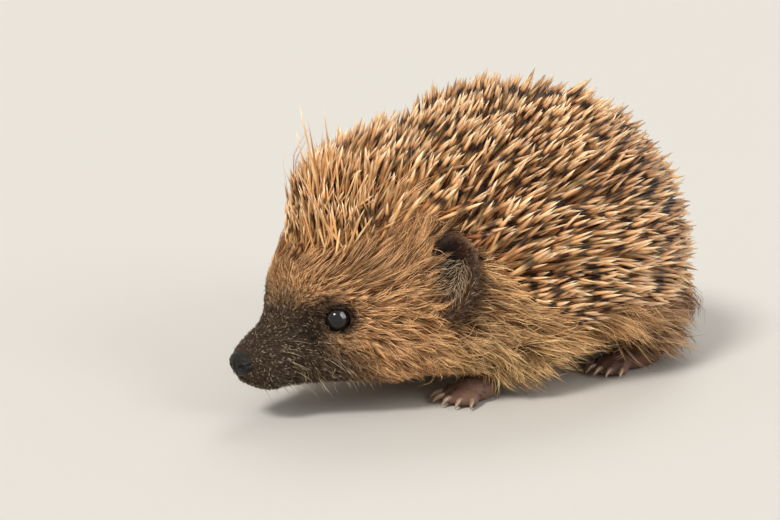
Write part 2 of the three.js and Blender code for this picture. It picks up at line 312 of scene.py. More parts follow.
def solid(node, grow=0.0):
    """Points and triangles of a node, each point moved out by grow."""
    shape = bmesh.new()
    shape.from_mesh(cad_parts[node].data)
    bmesh.ops.remove_doubles(shape, verts=shape.verts, dist=1e-6)
    bmesh.ops.triangulate(shape, faces=shape.faces)
    points, faces = taken(shape)
    return points + grow * normals_of(points, faces), faces


def remeshed(parts, step):
    """One closed mesh of even squares round all the parts."""
    piece = new_object("draft", mesh_of("draft", *joined(parts)))
    remesh = piece.modifiers.new("remesh", "REMESH")
    remesh.mode = "VOXEL"
    remesh.voxel_size = step
    mesh = bpy.data.meshes.new_from_object(piece.evaluated_get(bpy.context.evaluated_depsgraph_get()))
    draft = piece.data
    bpy.data.objects.remove(piece)
    bpy.data.meshes.remove(draft)
    return mesh


def tree_of(points, triangles):
    return BVHTree.FromPolygons(points.tolist(), triangles.tolist())


def tree_of_nodes(nodes):
    """The surfaces of several nodes, as one tree."""
    return tree_of(*joined([solid(node) for node in nodes]))


def nearest(tree, points):
    """For each point: the nearest place on the surface, its face and how far it is."""
    found = [tree.find_nearest(p) for p in points.tolist()]
    return np.array([f[0] for f in found]), np.array([f[2] for f in found]), np.array([f[3] for f in found])


made = {}  # what is worked out once and used again


def coat_outline():
    """The outside of the whole coat, to the tips of hair and quills, worked out once."""
    if "outline" not in made:
        coat = remeshed([solid(node, 0.3 * MM) for node in FLESH + MANTLE], 1.4 * MM)
        made["outline"] = tree_of(points_of(coat), triangles_of(coat))
        bpy.data.meshes.remove(coat)
    return made["outline"]


# ---------------------------------------------------------------- skin

FUR_DEPTH = {  # behind the nose tip: depth of the fur, both in millimetres
    0: 0.1, 5: 0.25, 12: 0.6, 20: 1.1, 30: 1.9, 42: 2.4, 55: 3.2, 70: 4.6, 90: 5.6, 130: 5.4, 160: 4.0,
}
TOE_LENGTHS = {"fore": (3.6, 4.8, 5.2, 4.8, 3.4), "hind": (3.0, 4.8, 5.2, 4.8, 3.4)}
TOE_SPREAD = {"fore": 0.55, "hind": 0.4}
TOES_OUT = {"fore": 0.12, "hind": 0.2}
CLAW_LENGTHS = {"fore": 4.2, "hind": 4.4}
TOE_ROOTS = {"fore": 4.0, "hind": 8.8}
SOLE_HALVES = {"fore": (5.4, 6.2, 3.6), "hind": (5.2, 11.5, 3.5)}
SOLE_BACK = {"fore": 66, "hind": 123}
SOLE_X = {"fore": 21.0, "hind": 25.5}


def back_of(points):
    """How far points lie behind the nose tip, in millimetres."""
    return (points[:, 1] - NOSE_Y) / MM


def fur_depth(points):
    return np.interp(back_of(points), list(FUR_DEPTH), list(FUR_DEPTH.values())) * MM


def toes(foot, side):
    """For each toe: a function from distance past its root and height to a point, and the toe's length."""
    half_width, middle_x = SOLE_HALVES[foot][0], SOLE_X[foot]
    found = []
    for i, toe in enumerate(TOE_LENGTHS[foot]):
        fan = (i - 2) / 2
        turn = fan * TOE_SPREAD[foot] + TOES_OUT[foot]
        root = TOE_ROOTS[foot] * (1 - 0.16 * fan * fan)

        def place(far, high, fan=fan, turn=turn, root=root):
            x = middle_x + fan * half_width * 0.72 + math.sin(turn) * far
            y = SOLE_BACK[foot] - root - math.cos(turn) * far
            return np.array([SIDES[side] * x * MM, NOSE_Y + y * MM, high * MM])

        found.append((place, toe))
    return found


def beads(stations, gap=0.6 * MM):
    """Balls set close together along a line of (point, radius), as parts to be remeshed into a limb."""
    parts = []
    for (a, ra), (b, rb) in zip(stations, stations[1:]):
        count = max(int(np.linalg.norm(b - a) / gap), 1)
        parts += [ball(a + (b - a) * i / count, ra + (rb - ra) * i / count) for i in range(count + 1)]
    return parts


def foot_parts(foot, side):
    """The sole and the toes of a foot, without claws."""
    half = np.array(SOLE_HALVES[foot]) * MM
    centre = np.array([SIDES[side] * SOLE_X[foot] * MM, NOSE_Y + SOLE_BACK[foot] * MM, half[2] - 0.4 * MM])
    parts = [ball(centre, half, 4)]
    for place, toe in toes(foot, side):
        parts += beads([
            (place(-2.5, 2.3), 1.5 * MM),
            (place(toe / 2, 2.5), 1.75 * MM),
            (place(toe, 1.55), 1.45 * MM),
        ])
    return parts


def sunk_body(settings):
    """The body under its coat: the flesh nodes, sunk by the depth of the fur where no quills cover them."""
    eyes = [solid(f"eye_{side}", 0.4 * MM) for side in SIDES]
    parts = [solid(node, 0.35 * MM) for node in FLESH] + eyes + [solid("nose", -0.5 * MM)]
    mesh = remeshed(parts, settings.first_step)
    points, triangles, edges = points_of(mesh), triangles_of(mesh), edges_of(mesh)
    bpy.data.meshes.remove(mesh)
    points = rounded(points, edges, 10)
    gap = nearest(tree_of_nodes(MANTLE), points)[2]
    depth = fur_depth(points) * smoothstep(gap, 0.8 * MM, 2.5 * MM)
    wanted = fur_depth(points) + 3.5 * MM * smoothstep(gap, 6 * MM, 0.5 * MM)
    # Over the rear the skin sinks by what it lacks under the outline of the coat, and not by a set depth.
    lacking = np.maximum(wanted - nearest(coat_outline(), points)[2], 0)
    rear = smoothstep(back_of(points), 80, 100)
    depth = depth * (1 - rear) + lacking * rear
    depth = averaged(depth, edges, 25, 0.5)
    steps = 10
    for _ in range(steps):
        points = points - normals_of(points, triangles) * (depth / steps)[:, None]
        soft = np.clip(depth / (3 * MM), 0.03, 1)[:, None]
        points += soft * (averaged(points, edges, 2, 0.5) - points)
    # What still lies too shallow on the rear is smoothed, which draws it further in.
    high = points[:, 2] / MM
    zone = rear * smoothstep(high, 12, 16) * smoothstep(high, 36, 30)
    for _ in range(7):
        shallow = smoothstep(nearest(coat_outline(), points)[2], wanted, 0.6 * wanted)
        shallow = averaged(shallow, edges, 6, 0.5) * zone
        points = points + shallow[:, None] * (averaged(points, edges, 14, 0.5) - points)
    return points, triangles


def line_of_sight(points, normals):
    """The way the left eye looks: the mean normal of the skin round it."""
    near = np.linalg.norm(points - EYE, axis=1) < 2.2 * EYE_RADIUS
    return unit(normals[near].mean(0))


def refined(mesh, near, rounds):
    """Splits the faces whose middle is near, and again those nearer still."""
    shape = bmesh.new()
    shape.from_mesh(mesh)
    for i in range(rounds):
        chosen = [f for f in shape.faces if near(f.calc_center_median(), i)]
        edges = list({e for f in chosen for e in f.edges})
        bmesh.ops.subdivide_edges(shape, edges=edges, cuts=1, use_grid_fill=True)
    bmesh.ops.triangulate(shape, faces=shape.faces)
    shape.to_mesh(mesh)
    shape.free()


def with_lids(points, sight, settings):
    """Opens the skin over each eye and lays thin lids on the ball, the upper one a little lower over it."""
    brow = unit(np.array([0, 0, 1.0]) - sight * sight[2])
    fore = np.cross(brow, sight)
    opening = EYE_RADIUS * math.sin(settings.lid_opening)
    rim = opening + 0.4 * MM
    far = opening + 3.2 * MM
    for side in SIDES.values():
        flip = np.array([side, 1, 1])
        off = points * flip - EYE
        out = off @ sight
        up, along = off @ brow, off @ fore
        wide = np.hypot(along / 1.08, (up + 0.1 * EYE_RADIUS) / 0.94)
        ball_height = np.sqrt(np.maximum(EYE_RADIUS ** 2 - along ** 2 - up ** 2, (0.3 * EYE_RADIUS) ** 2))
        rim_height = ball_height + settings.lid_thickness * (1 + smoothstep(up, 0, EYE_RADIUS))
        blend = smoothstep(wide, rim, far)
        lifted = rim_height * (1 - blend) + out * blend
        wall = smoothstep(wide, opening, rim)
        foot = ball_height - 0.3 * MM
        lifted = np.where(wide < rim, foot + wall * (rim_height - foot), lifted)
        lifted = np.where(wide < opening, -0.25 * EYE_RADIUS, lifted)
        near = (wide < far) & (out > -3 * MM) & (np.abs(out) < 9 * MM)
        move = np.where(near, lifted - out, 0)
        points = points + (move[:, None] * sight) * flip
    return points


def with_mouth(points, normals):
    """A shallow groove for the mouth, from under the nose to below the eye."""
    back = back_of(points)
    corner = (EYE[1] - NOSE_Y) / MM - 1
    lip = np.interp(back, [3, 8, 16, corner], [12.6, 12.4, 13.0, 14.6]) * MM
    off = np.abs(points[:, 2] - lip)
    deep = 0.8 * MM * smoothstep(off, 0.9 * MM, 0)
    deep = deep * smoothstep(back, corner + 2, corner - 4) * smoothstep(back, 2, 5)
    return points - normals * deep[:, None]


def with_collar(points, normals):
    """The furred skin that grips the leather of the nose."""
    back = back_of(points)
    out = 0.95 * MM * smoothstep(back, 1.9, 4.6) * smoothstep(back, 14, 9)
    return points + normals * out[:, None]


def build_skin(settings):
    parts = [sunk_body(settings), solid("tail", -0.2 * MM)]
    for side in SIDES:
        parts.append(solid(f"ear_{side}", 0.05 * MM))
        parts += [solid(f"{leg}_{side}", -settings.leg_fur) for leg in ("foreleg", "hindleg")]
        parts += [part for foot in ("fore", "hind") for part in foot_parts(foot, side)]
    mesh = remeshed(parts, settings.step)
    points, edges = points_of(mesh), edges_of(mesh)
    points = rounded(points, edges, 3)
    mesh.vertices.foreach_set("co", points.astype(np.float32).ravel())
    eyes = [Vector(EYE * (side, 1, 1)) for side in SIDES.values()]
    reach = (2.9 * EYE_RADIUS, 1.9 * EYE_RADIUS)
    muzzle = (NOSE_Y + 26 * MM, NOSE_Y)
    refined(mesh, lambda p, i: min((p - e).length for e in eyes) < reach[i] or p.y < muzzle[i], 2)
    points, triangles, edges = points_of(mesh), triangles_of(mesh), edges_of(mesh)
    points = averaged(points, edges, 1, 0.5)
    normals = normals_of(points, triangles)
    points = with_mouth(with_collar(points, normals), normals)
    points = with_lids(points, line_of_sight(points, normals), settings)
    points = averaged(points, edges, 1, 0.35)
    points[:, 2] = np.maximum(points[:, 2], 0)
    mesh.vertices.foreach_set("co", points.astype(np.float32).ravel())
    mesh.shade_smooth()
    mesh.update()
    mesh.name = "skin"
    return new_object("skin", mesh)


QUILLS_END = {  # behind the nose tip: height where the quills end, both in millimetres
    60: 0, 80: 22, 95: 24, 112: 22, 140: 20, 165: 19,
}


class Surface:
    """The finished skin as arrays, with what the coat needs to know of each point."""

    def __init__(self, mesh):
        self.points, self.triangles, self.edges = points_of(mesh), triangles_of(mesh), edges_of(mesh)
        self.normals = normals_of(self.points, self.triangles)
        self.tree = tree_of(self.points, self.triangles)
        coarse = averaged(self.normals, self.edges, 12, 0.5)
        self.flow_normals = unit(coarse)
        self.broad_normals = unit(averaged(coarse, self.edges, 130, 0.5))
        a, b, c = self.points[self.triangles].transpose(1, 0, 2)
        self.areas = np.linalg.norm(np.cross(b - a, c - a), axis=1) / 2
        self.outline = coat_outline()
        self.depth = nearest(self.outline, self.points)[2]
        gap = nearest(tree_of_nodes(MANTLE), self.points)[2]
        back, high = back_of(self.points), self.points[:, 2] / MM
        lowest = np.interp(back, list(QUILLS_END), list(QUILLS_END.values())) + 1.6 * swirl(self.points)
        under_mantle = 1.2 * MM + 8 * MM * smoothstep(back, 80, 100)
        spiny = smoothstep(gap - under_mantle, 2 * MM, 0) * smoothstep(high - lowest, -1.5, 1.5)
        self.mantle = averaged(spiny, self.edges, 4, 0.5)
        self.inland = averaged(self.mantle, self.edges, 90, 0.5)
        limbs = tree_of_nodes(ALL_LIMBS + ["tail"])
        self.limb = smoothstep(nearest(limbs, self.points)[2], 2.0 * MM, 1.0 * MM)

    def scatter(self, count, weight, rng):
        """Places on the skin, as dense as weight says at each point: triangle and corner shares."""
        chance = np.cumsum(self.areas * weight[self.triangles].mean(1))
        drawn = (np.arange(count) + rng.random(count)) / count * chance[-1]
        face = np.minimum(np.searchsorted(chance, drawn), len(self.triangles) - 1)
        u, v = rng.random((2, count))
        turned = u + v > 1
        u, v = np.where(turned, 1 - u, u), np.where(turned, 1 - v, v)
        return face, np.stack([1 - u - v, u, v], 1)

    def at(self, values, face, parts):
        """Values kept at the points, read at places on the skin."""
        found = values[self.triangles[face]]
        return np.einsum("nc,nc...->n...", parts, found)


def surface():
    """The skin's arrays, worked out once."""
    if "surface" not in made:
        mesh = bpy.data.objects["skin"].data
        made["surface"] = Surface(mesh)
        add_values(mesh, "quilled", made["surface"].inland)
    return made["surface"]


# ---------------------------------------------------------------- strands and quills


def spaced(places, gap):
    """Which of the places to keep so that none lie closer than gap, in order."""
    kept, cells = [], {}
    for i, (x, y, z) in enumerate((places / gap).tolist()):
        cell = (math.floor(x), math.floor(y), math.floor(z))
        near = (
            other
            for dx in (-1, 0, 1)
            for dy in (-1, 0, 1)
            for dz in (-1, 0, 1)
            for other in cells.get((cell[0] + dx, cell[1] + dy, cell[2] + dz), ())
        )
        if all((x - a) ** 2 + (y - b) ** 2 + (z - c) ** 2 >= 1 for a, b, c in near):
            cells.setdefault(cell, []).append((x, y, z))
            kept.append(i)
    return np.array(kept)


def laid(directions, normals):
    """Directions laid flat on the skin."""
    return unit(directions - normals * dot(directions, normals))


def turned(directions, normals, angles):
    """Directions turned about the normals."""
    cos, sin = np.cos(angles)[:, None], np.sin(angles)[:, None]
    return directions * cos + np.cross(normals, directions) * sin


def unrolled(points, axis_height=32 * MM):
    """The skin unrolled about the animal's length: an angle round it and a distance along it."""
    x, z = points[:, 0], points[:, 2] - axis_height
    out = np.hypot(x, z)
    half = (NOSE_Y + RUMP_Y) / 2
    lean = np.clip((half - points[:, 1]) / (30 * MM), -1, 1)
    return np.stack([np.arctan2(x, z) / (2 * math.pi), (points[:, 1] - half) + lean * out], 1)


def tubes(lines, radii, sides, up, flat=1.0):
    """Closed tubes along many lines at once, drawn to a point at their last stations.

    lines is stations by tubes by 3, radii stations (without the tip) by tubes. Returns points, triangles, and
    for each point its tube, its share of the length and its place round the tube.
    """
    stations, count = lines.shape[0], lines.shape[1]
    rings = stations - 1
    ahead = np.empty_like(lines)
    ahead[0] = lines[1] - lines[0]
    ahead[1:-1] = lines[2:] - lines[:-2]
    ahead[-1] = lines[-1] - lines[-2]
    ahead = unit(ahead)
    across = unit(np.cross(ahead, up[None]))
    over = np.cross(across, ahead)
    turn = (np.arange(sides) + 0.25) / sides * 2 * math.pi
    points = np.empty((count, rings * sides + 1, 3))
    for r in range(rings):
        for s in range(sides):
            side = across[r] * math.cos(turn[s]) + over[r] * math.sin(turn[s]) * flat
            points[:, r * sides + s] = lines[r] + side * radii[r][:, None]
    points[:, -1] = lines[-1]
    faces = [[0, s + 1, s] for s in range(1, sides - 1)]
    for r in range(rings - 1):
        for s in range(sides):
            a, b = r * sides + s, r * sides + (s + 1) % sides
            faces += [[a, b, b + sides], [a, b + sides, a + sides]]
    last = (rings - 1) * sides
    faces += [[last + s, last + (s + 1) % sides, rings * sides] for s in range(sides)]
    faces = np.array(faces)
    per = rings * sides + 1
    triangles = (faces[None] + (np.arange(count) * per)[:, None, None]).reshape(-1, 3)
    tube = np.repeat(np.arange(count), per)
    steps = np.linalg.norm(np.diff(lines, axis=0), axis=2)
    along = np.concatenate([np.zeros((1, count)), np.cumsum(steps, 0)]) / np.maximum(steps.sum(0), 1e-9)
    along = np.concatenate([np.repeat(along[:-1].T, sides, axis=1), np.ones((count, 1))], 1).ravel()
    around = np.concatenate([np.tile(np.arange(sides) / max(sides - 1, 1), rings), [0.5]])
    return points.reshape(-1, 3), triangles, tube, along, np.tile(around, count)


PATCH = 0.003  # side of each strand's patch on the map for baking
MAP_EDGE = 0.01  # margin of that map
FLOOR_GAP = 0.0001  # least height of coat and claws over the floor, in metres


def coat_piece(name, lines, radii, sides, up, roots, tones, material, flat=1.0):
    """One piece of coat, with what its material reads and its map for baking."""
    points, triangles, tube, along, around = tubes(lines, radii, sides, up, flat)
    points[:, 2] = np.maximum(points[:, 2], FLOOR_GAP)
    mesh = mesh_of(name, points, triangles)
    add_values(mesh, "along", along)
    add_values(mesh, "tone", tones[tube])
    add_values(mesh, "root", roots[tube])
    place = unrolled(roots)
    low, high = place.min(0), place.max(0)
    place = MAP_EDGE + (1 - 2 * MAP_EDGE) * (place - low) / (high - low)
    add_map(mesh, place[tube] + (np.stack([around, along], 1) - 0.5) * PATCH)
    mesh.materials.append(material)
    piece = new_object(name, mesh)
    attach(piece, "root")
    return piece


def comb(skin, roots, normals, way, lengths, heights, cling, steps, bends):
    """Guide lines from the roots: each runs along the skin the way the coat lies and rises to its height.

    way(points, normals) gives the lie of the coat, and bends says how far each line curves away from it, in
    radians.
    """
    lines = [roots - normals * 0.3 * MM]
    base, up = roots.copy(), normals.copy()
    for i in range(1, steps + 1):
        here = turned(laid(way(base, up), up), up, bends * (1.5 * i / steps - 0.2))
        free = base + here * (lengths / steps)[:, None]
        held, face, _ = nearest(skin.tree, free)
        base = free + (held - free) * cling[:, None]
        under = skin.flow_normals[skin.triangles[face]].mean(1)
        up = unit(under * cling[:, None] + up * (1.2 - cling)[:, None])
        rise = heights * (1 - (1 - i / steps) ** 1.7)
        lines.append(base + up * rise[:, None])
    return np.array(lines)


def tufted(lines, normals, per, spread, gather, rng, waver=0.0):
    """Strands round each guide line: spread at the roots, gathered towards the tip."""
    guide = np.repeat(np.arange(lines.shape[1]), per)
    count, steps = len(guide), lines.shape[0] - 1
    up = normals[guide]
    ahead = laid(lines[-1, guide] - lines[0, guide], up)
    beside = np.cross(up, ahead)
    reach = np.sqrt(rng.random(count)) * spread[guide]
    turn = rng.random(count) * 2 * math.pi
    off = beside * (reach * np.cos(turn))[:, None] + ahead * (reach * np.sin(turn))[:, None]
    scale = rng.uniform(0.72, 1.12, count)[:, None]
    drift = (beside * rng.normal(0, 1, count)[:, None] + up * rng.normal(0, 0.35, count)[:, None]) * waver
    found = []
    for i in range(steps + 1):
        s = i / steps
        line = lines[0, guide] + (lines[i, guide] - lines[0, guide]) * scale
        found.append(line + off * (1 - gather * s) + drift * (s * s) * spread[guide][:, None])
    return np.array(found), guide, off


# ---------------------------------------------------------------- materials


def add(tree, kind, inputs=None, **settings):
    """A node of a tree. An input is a value or the output that feeds it."""
    node = tree.nodes.new("ShaderNode" + kind)
    for key, value in settings.items():
        setattr(node, key, value)
    for key, value in (inputs or {}).items():
        if isinstance(value, bpy.types.NodeSocket):
            tree.links.new(value, node.inputs[key])
        else:
            node.inputs[key].default_value = value
    return node


def maths(tree, operation, *values):
    return add(tree, "Math", dict(enumerate(values)), operation=operation).outputs[0]


def rgba(value):
    return value if isinstance(value, bpy.types.NodeSocket) else (*value, 1)


def mixed(tree, factor, a, b, how="MIX"):
    """Two colours mixed by factor."""
    node = add(tree, "Mix", {0: factor, 6: rgba(a), 7: rgba(b)}, data_type="RGBA", blend_type=how)
    return node.outputs[2]


def ramp(tree, value, low, high, start=0.0, end=1.0):
    """start below low, end above high and a smooth way between."""
    limits = {"From Min": low, "From Max": high, "To Min": start, "To Max": end}
    node = add(tree, "MapRange", {"Value": value, **limits}, interpolation_type="SMOOTHSTEP")
    return node.outputs[0]


def noise(tree, place, scale, detail=2.0):
    node = add(tree, "TexNoise", {"Vector": place, "Scale": scale, "Detail": detail})
    return node.outputs["Fac"]


def new_group(name, takes, gives):
    """An empty shader node group with named sockets, and its two ends."""
    tree = bpy.data.node_groups.new(name, "ShaderNodeTree")
    for ends, way in ((takes, "INPUT"), (gives, "OUTPUT")):
        for socket, kind in ends.items():
            tree.interface.new_socket(name=socket, in_out=way, socket_type="NodeSocket" + kind)
    return tree, tree.nodes.new("NodeGroupInput"), tree.nodes.new("NodeGroupOutput")


def group(name, build):
    """A node group by name, built the first time it is asked for."""
    return bpy.data.node_groups.get(name) or build(name)


def near(tree, here, point, halves, inner, outer, wobble):
    """1 near a point, falling unevenly to 0 between inner and outer, shares of the halves of an ellipsoid."""
    away = add(tree, "VectorMath", {0: here, 1: tuple(point)}, operation="SUBTRACT").outputs[0]
    away = add(tree, "VectorMath", {0: away, 1: tuple(np.array(halves) * MM)}, operation="DIVIDE").outputs[0]
    away = add(tree, "VectorMath", {0: away}, operation="LENGTH").outputs["Value"]
    return ramp(tree, maths(tree, "ADD", away, wobble), inner, outer, 1.0, 0.0)


def mirrored(tree, place):
    """The place on the left side that mirrors a place, and the place's own distance along and height."""
    split = add(tree, "SeparateXYZ", {"Vector": place})
    x, y, z = (split.outputs[a] for a in "XYZ")
    return add(tree, "CombineXYZ", {"X": maths(tree, "ABSOLUTE", x), "Y": y, "Z": z}).outputs[0], y, z


EAR_HALVES = (9.5, 7.5, 14)  # of the ellipsoid round an ear, in millimetres


def markings(name):
    """The coat's markings, with painted shade: from a place on the skin to the colours of the fur there, at
    tips and roots.
    """
    c = bpy.context.scene.hedgehog_colours
    gives = {"Tip": "Color", "Root": "Color", "Muzzle": "Float"}
    tree, start, end = new_group(name, {"Place": "Vector"}, gives)
    place = start.outputs["Place"]
    here, y, z = mirrored(tree, place)
    wobble = maths(tree, "SUBTRACT", noise(tree, place, 160.0, 3.0), 0.5)
    uneven = maths(tree, "MULTIPLY", wobble, 9 * MM)
    broad = noise(tree, place, 60.0)
    back = maths(tree, "ADD", maths(tree, "SUBTRACT", y, float(NOSE_Y)), uneven)
    tilted = maths(tree, "ADD", back, maths(tree, "MULTIPLY", maths(tree, "SUBTRACT", z, 10 * MM), 0.62))
    muzzle = ramp(tree, tilted, 26 * MM, 37 * MM, 1.0, 0.0)
    ring = near(tree, here, EYE, (4.6, 5.2, 4.4), 0.75, 1.25, maths(tree, "MULTIPLY", wobble, 0.6))
    # Painted shade: the dark crease over each eye stands for the shade of the fold there.
    crease = near(tree, here, EYE + np.array([-1.5, -2.5, 3.4]) * MM, (4, 6.5, 2.6), 0.2, 1.4, wobble)
    crease = maths(tree, "MULTIPLY", crease, 0.85)
    tear = near(tree, here, EYE + np.array([-3.0, -6.0, -1.0]) * MM, (5, 5, 6), 0.3, 1.2, wobble)
    brow = near(tree, here, EYE + np.array([0, 6, 10]) * MM, (10, 15, 7), 0.3, 1.2, wobble)
    ear = near(tree, here, EAR, EAR_HALVES, 0.8, 1.05, maths(tree, "MULTIPLY", wobble, 0.3))
    hollow = near(tree, here, EAR + np.array([1.5, -2.0, 4.5]) * MM, (9, 6, 9), 0.5, 1.0, wobble)
    flank = ramp(tree, back, 38 * MM, 56 * MM)
    low = ramp(tree, maths(tree, "ADD", z, uneven), 24 * MM, 12 * MM)
    rear = ramp(tree, back, 80 * MM, 126 * MM)
    bare = ramp(tree, z, 10 * MM, 5 * MM)
    tip = mixed(tree, flank, c.tan, c.flank)
    tip = mixed(tree, maths(tree, "MULTIPLY", low, flank), tip, c.fringe)
    # The rear darkens to the rump colour, partly painted shade over the rear.
    tip = mixed(tree, rear, tip, c.rump)
    tip = mixed(tree, ramp(tree, broad, 0.45, 0.75, 0.0, 0.4), tip, c.tan_root)
    tip = mixed(tree, maths(tree, "MULTIPLY", brow, 0.22), tip, c.tan_root)
    tip = mixed(tree, muzzle, tip, c.muzzle)
    # The eye ring and the patch before the eye are dark fur; the crease is painted shade.
    dark = maths(tree, "MAXIMUM", ring, maths(tree, "MAXIMUM", crease, maths(tree, "MULTIPLY", tear, 0.85)))
    tip = mixed(tree, dark, tip, c.muzzle_root)
    edge = near(tree, here, EAR, EAR_HALVES, 0.6, 0.95, 0.0)
    fuzz = mixed(tree, edge, [0.35 * x for x in c.ear], c.ear)
    tip = mixed(tree, ear, tip, fuzz)
    # Painted shade in the hollow of each ear.
    tip = mixed(tree, maths(tree, "MULTIPLY", ear, hollow), tip, c.ear_hollow)
    tip = mixed(tree, bare, tip, c.sole)
    root = mixed(tree, muzzle, c.tan_root, c.muzzle_root)
    # Roots round the eyes and in the ears take the near-black of the ear hollows.
    root = mixed(tree, maths(tree, "MAXIMUM", dark, ear), root, c.ear_hollow)
    root = mixed(tree, bare, root, c.sole)
    tree.links.new(tip, end.inputs["Tip"])
    tree.links.new(root, end.inputs["Root"])
    tree.links.new(muzzle, end.inputs["Muzzle"])
    return tree


# What the darkest and the palest strands multiply their colour by. Pale fur and quills can come out above 1,
# so the palest strands give back more light than falls on them, a painted glow.
DARK_TINT = (0.3, 0.19, 0.1)
LIGHT_TINT = (1.52, 1.78, 2.28)


def toned(name):
    """A colour made darker and redder, or paler and creamier, by a tone from 0 to 1 that each strand has."""
    takes = {"Colour": "Color", "Tone": "Float", "Strength": "Float"}
    tree, start, end = new_group(name, takes, {"Colour": "Color"})
    away = maths(tree, "SUBTRACT", start.outputs["Tone"], 0.5)
    share = maths(tree, "ADD", 0.5, maths(tree, "MULTIPLY", away, start.outputs["Strength"]))
    tint = mixed(tree, share, DARK_TINT, LIGHT_TINT)
    tree.links.new(mixed(tree, 1.0, start.outputs["Colour"], tint, "MULTIPLY"), end.inputs["Colour"])
    return tree


def grain(name):
    """Fine pebbles and creases in leather and skin, as a height."""
    tree, start, end = new_group(name, {"Place": "Vector", "Scale": "Float"}, {"Height": "Float"})
    place, scale = start.outputs["Place"], start.outputs["Scale"]
    cells = add(tree, "TexVoronoi", {"Vector": place, "Scale": scale}, feature="SMOOTH_F1")
    coarse = maths(tree, "MULTIPLY", cells.outputs["Distance"], 0.7)
    fine = noise(tree, place, maths(tree, "MULTIPLY", scale, 0.35), 4.0)
    total = maths(tree, "ADD", coarse, maths(tree, "MULTIPLY", fine, 0.6))
    tree.links.new(total, end.inputs["Height"])
    return tree


def new_material(name, **settings):
    """A material whose shader has these plain values, its tree and its shader node."""
    found = bpy.data.materials.new(name)
    found.use_nodes = True
    shader = found.node_tree.nodes["Principled BSDF"]
    for key, value in settings.items():
        shader.inputs[key.replace("_", " ")].default_value = value
    return found, found.node_tree, shader


def placed(tree, name, build, **inputs):
    """A node group placed in a tree."""
    return add(tree, "Group", inputs, node_tree=group(name, build))


def kept(tree, name):
    """What the mesh keeps under a name."""
    return add(tree, "Attribute", attribute_name=name, attribute_type="GEOMETRY")


SPECKLED = 0.925  # tone over which a bristle of the muzzle has a pale tip


def fur_material():
    if found := bpy.data.materials.get("fur_strands"):
        return found
    found, tree, shader = new_material("fur_strands", Roughness=0.7, Specular_IOR_Level=0.15)
    along, tone = kept(tree, "along").outputs["Fac"], kept(tree, "tone").outputs["Fac"]
    marks = placed(tree, "coat_markings", markings, Place=kept(tree, "root").outputs["Vector"])
    # Darker towards the root: partly the hair's own colour, partly painted shade deep in the coat.
    base = mixed(tree, ramp(tree, along, 0.0, 0.75), marks.outputs["Root"], marks.outputs["Tip"])
    paint = placed(tree, "strand_tone", toned, Colour=base, Tone=tone, Strength=1.25)
    pale = maths(tree, "MULTIPLY", maths(tree, "GREATER_THAN", tone, SPECKLED), marks.outputs["Muzzle"])
    pale = maths(tree, "MULTIPLY", pale, ramp(tree, along, 0.3, 0.6))
    final = mixed(tree, pale, paint.outputs["Colour"], bpy.context.scene.hedgehog_colours.speck)
    tree.links.new(final, shader.inputs["Base Color"])
    return found


# Painted shade: a near-black brown laid on the skin where quills cover it, standing for the shade under the
# mantle.
SHADE_UNDER_QUILLS = linear(46, 25, 12)  # colour of the skin where quills cover it


def skin_material():
    found, tree, shader = new_material("skin_leather", Roughness=0.7, Specular_IOR_Level=0.2)
    place = add(tree, "TexCoord").outputs["Object"]
    marks = placed(tree, "coat_markings", markings, Place=place)
    # The skin takes mostly the root colour, which is partly painted shade under the fur.
    base = mixed(tree, 0.25, marks.outputs["Root"], marks.outputs["Tip"])
    blotches = ramp(tree, noise(tree, place, 900.0, 3.0), 0.35, 0.7, 0.0, 0.5)
    base = mixed(tree, blotches, base, marks.outputs["Root"])
    here = mirrored(tree, place)[0]
    away = add(tree, "VectorMath", {0: here, 1: tuple(EYE)}, operation="DISTANCE").outputs["Value"]
    lid = ramp(tree, away, 1.28 * EYE_RADIUS, 1.16 * EYE_RADIUS, 0.0, 0.75)
    base = mixed(tree, lid, base, bpy.context.scene.hedgehog_colours.lid)
    # Where quills cover it, the skin is darkened to the painted shade under the mantle.
    quilled = ramp(tree, kept(tree, "quilled").outputs["Fac"], 0.35, 0.7, 0.0, 0.85)
    base = mixed(tree, quilled, base, SHADE_UNDER_QUILLS)
    tree.links.new(base, shader.inputs["Base Color"])
    height = placed(tree, "fine_grain", grain, Place=place, Scale=1400.0).outputs["Height"]
    bump = add(tree, "Bump", {"Height": height, "Strength": 0.5, "Distance": 0.3 * MM})
    tree.links.new(bump.outputs["Normal"], shader.inputs["Normal"])
    return found


# Painted shade: the foot of each quill is darkened for the shade deep in the mantle.
QUILL_FOOT_SHADE = linear(144, 80, 36)


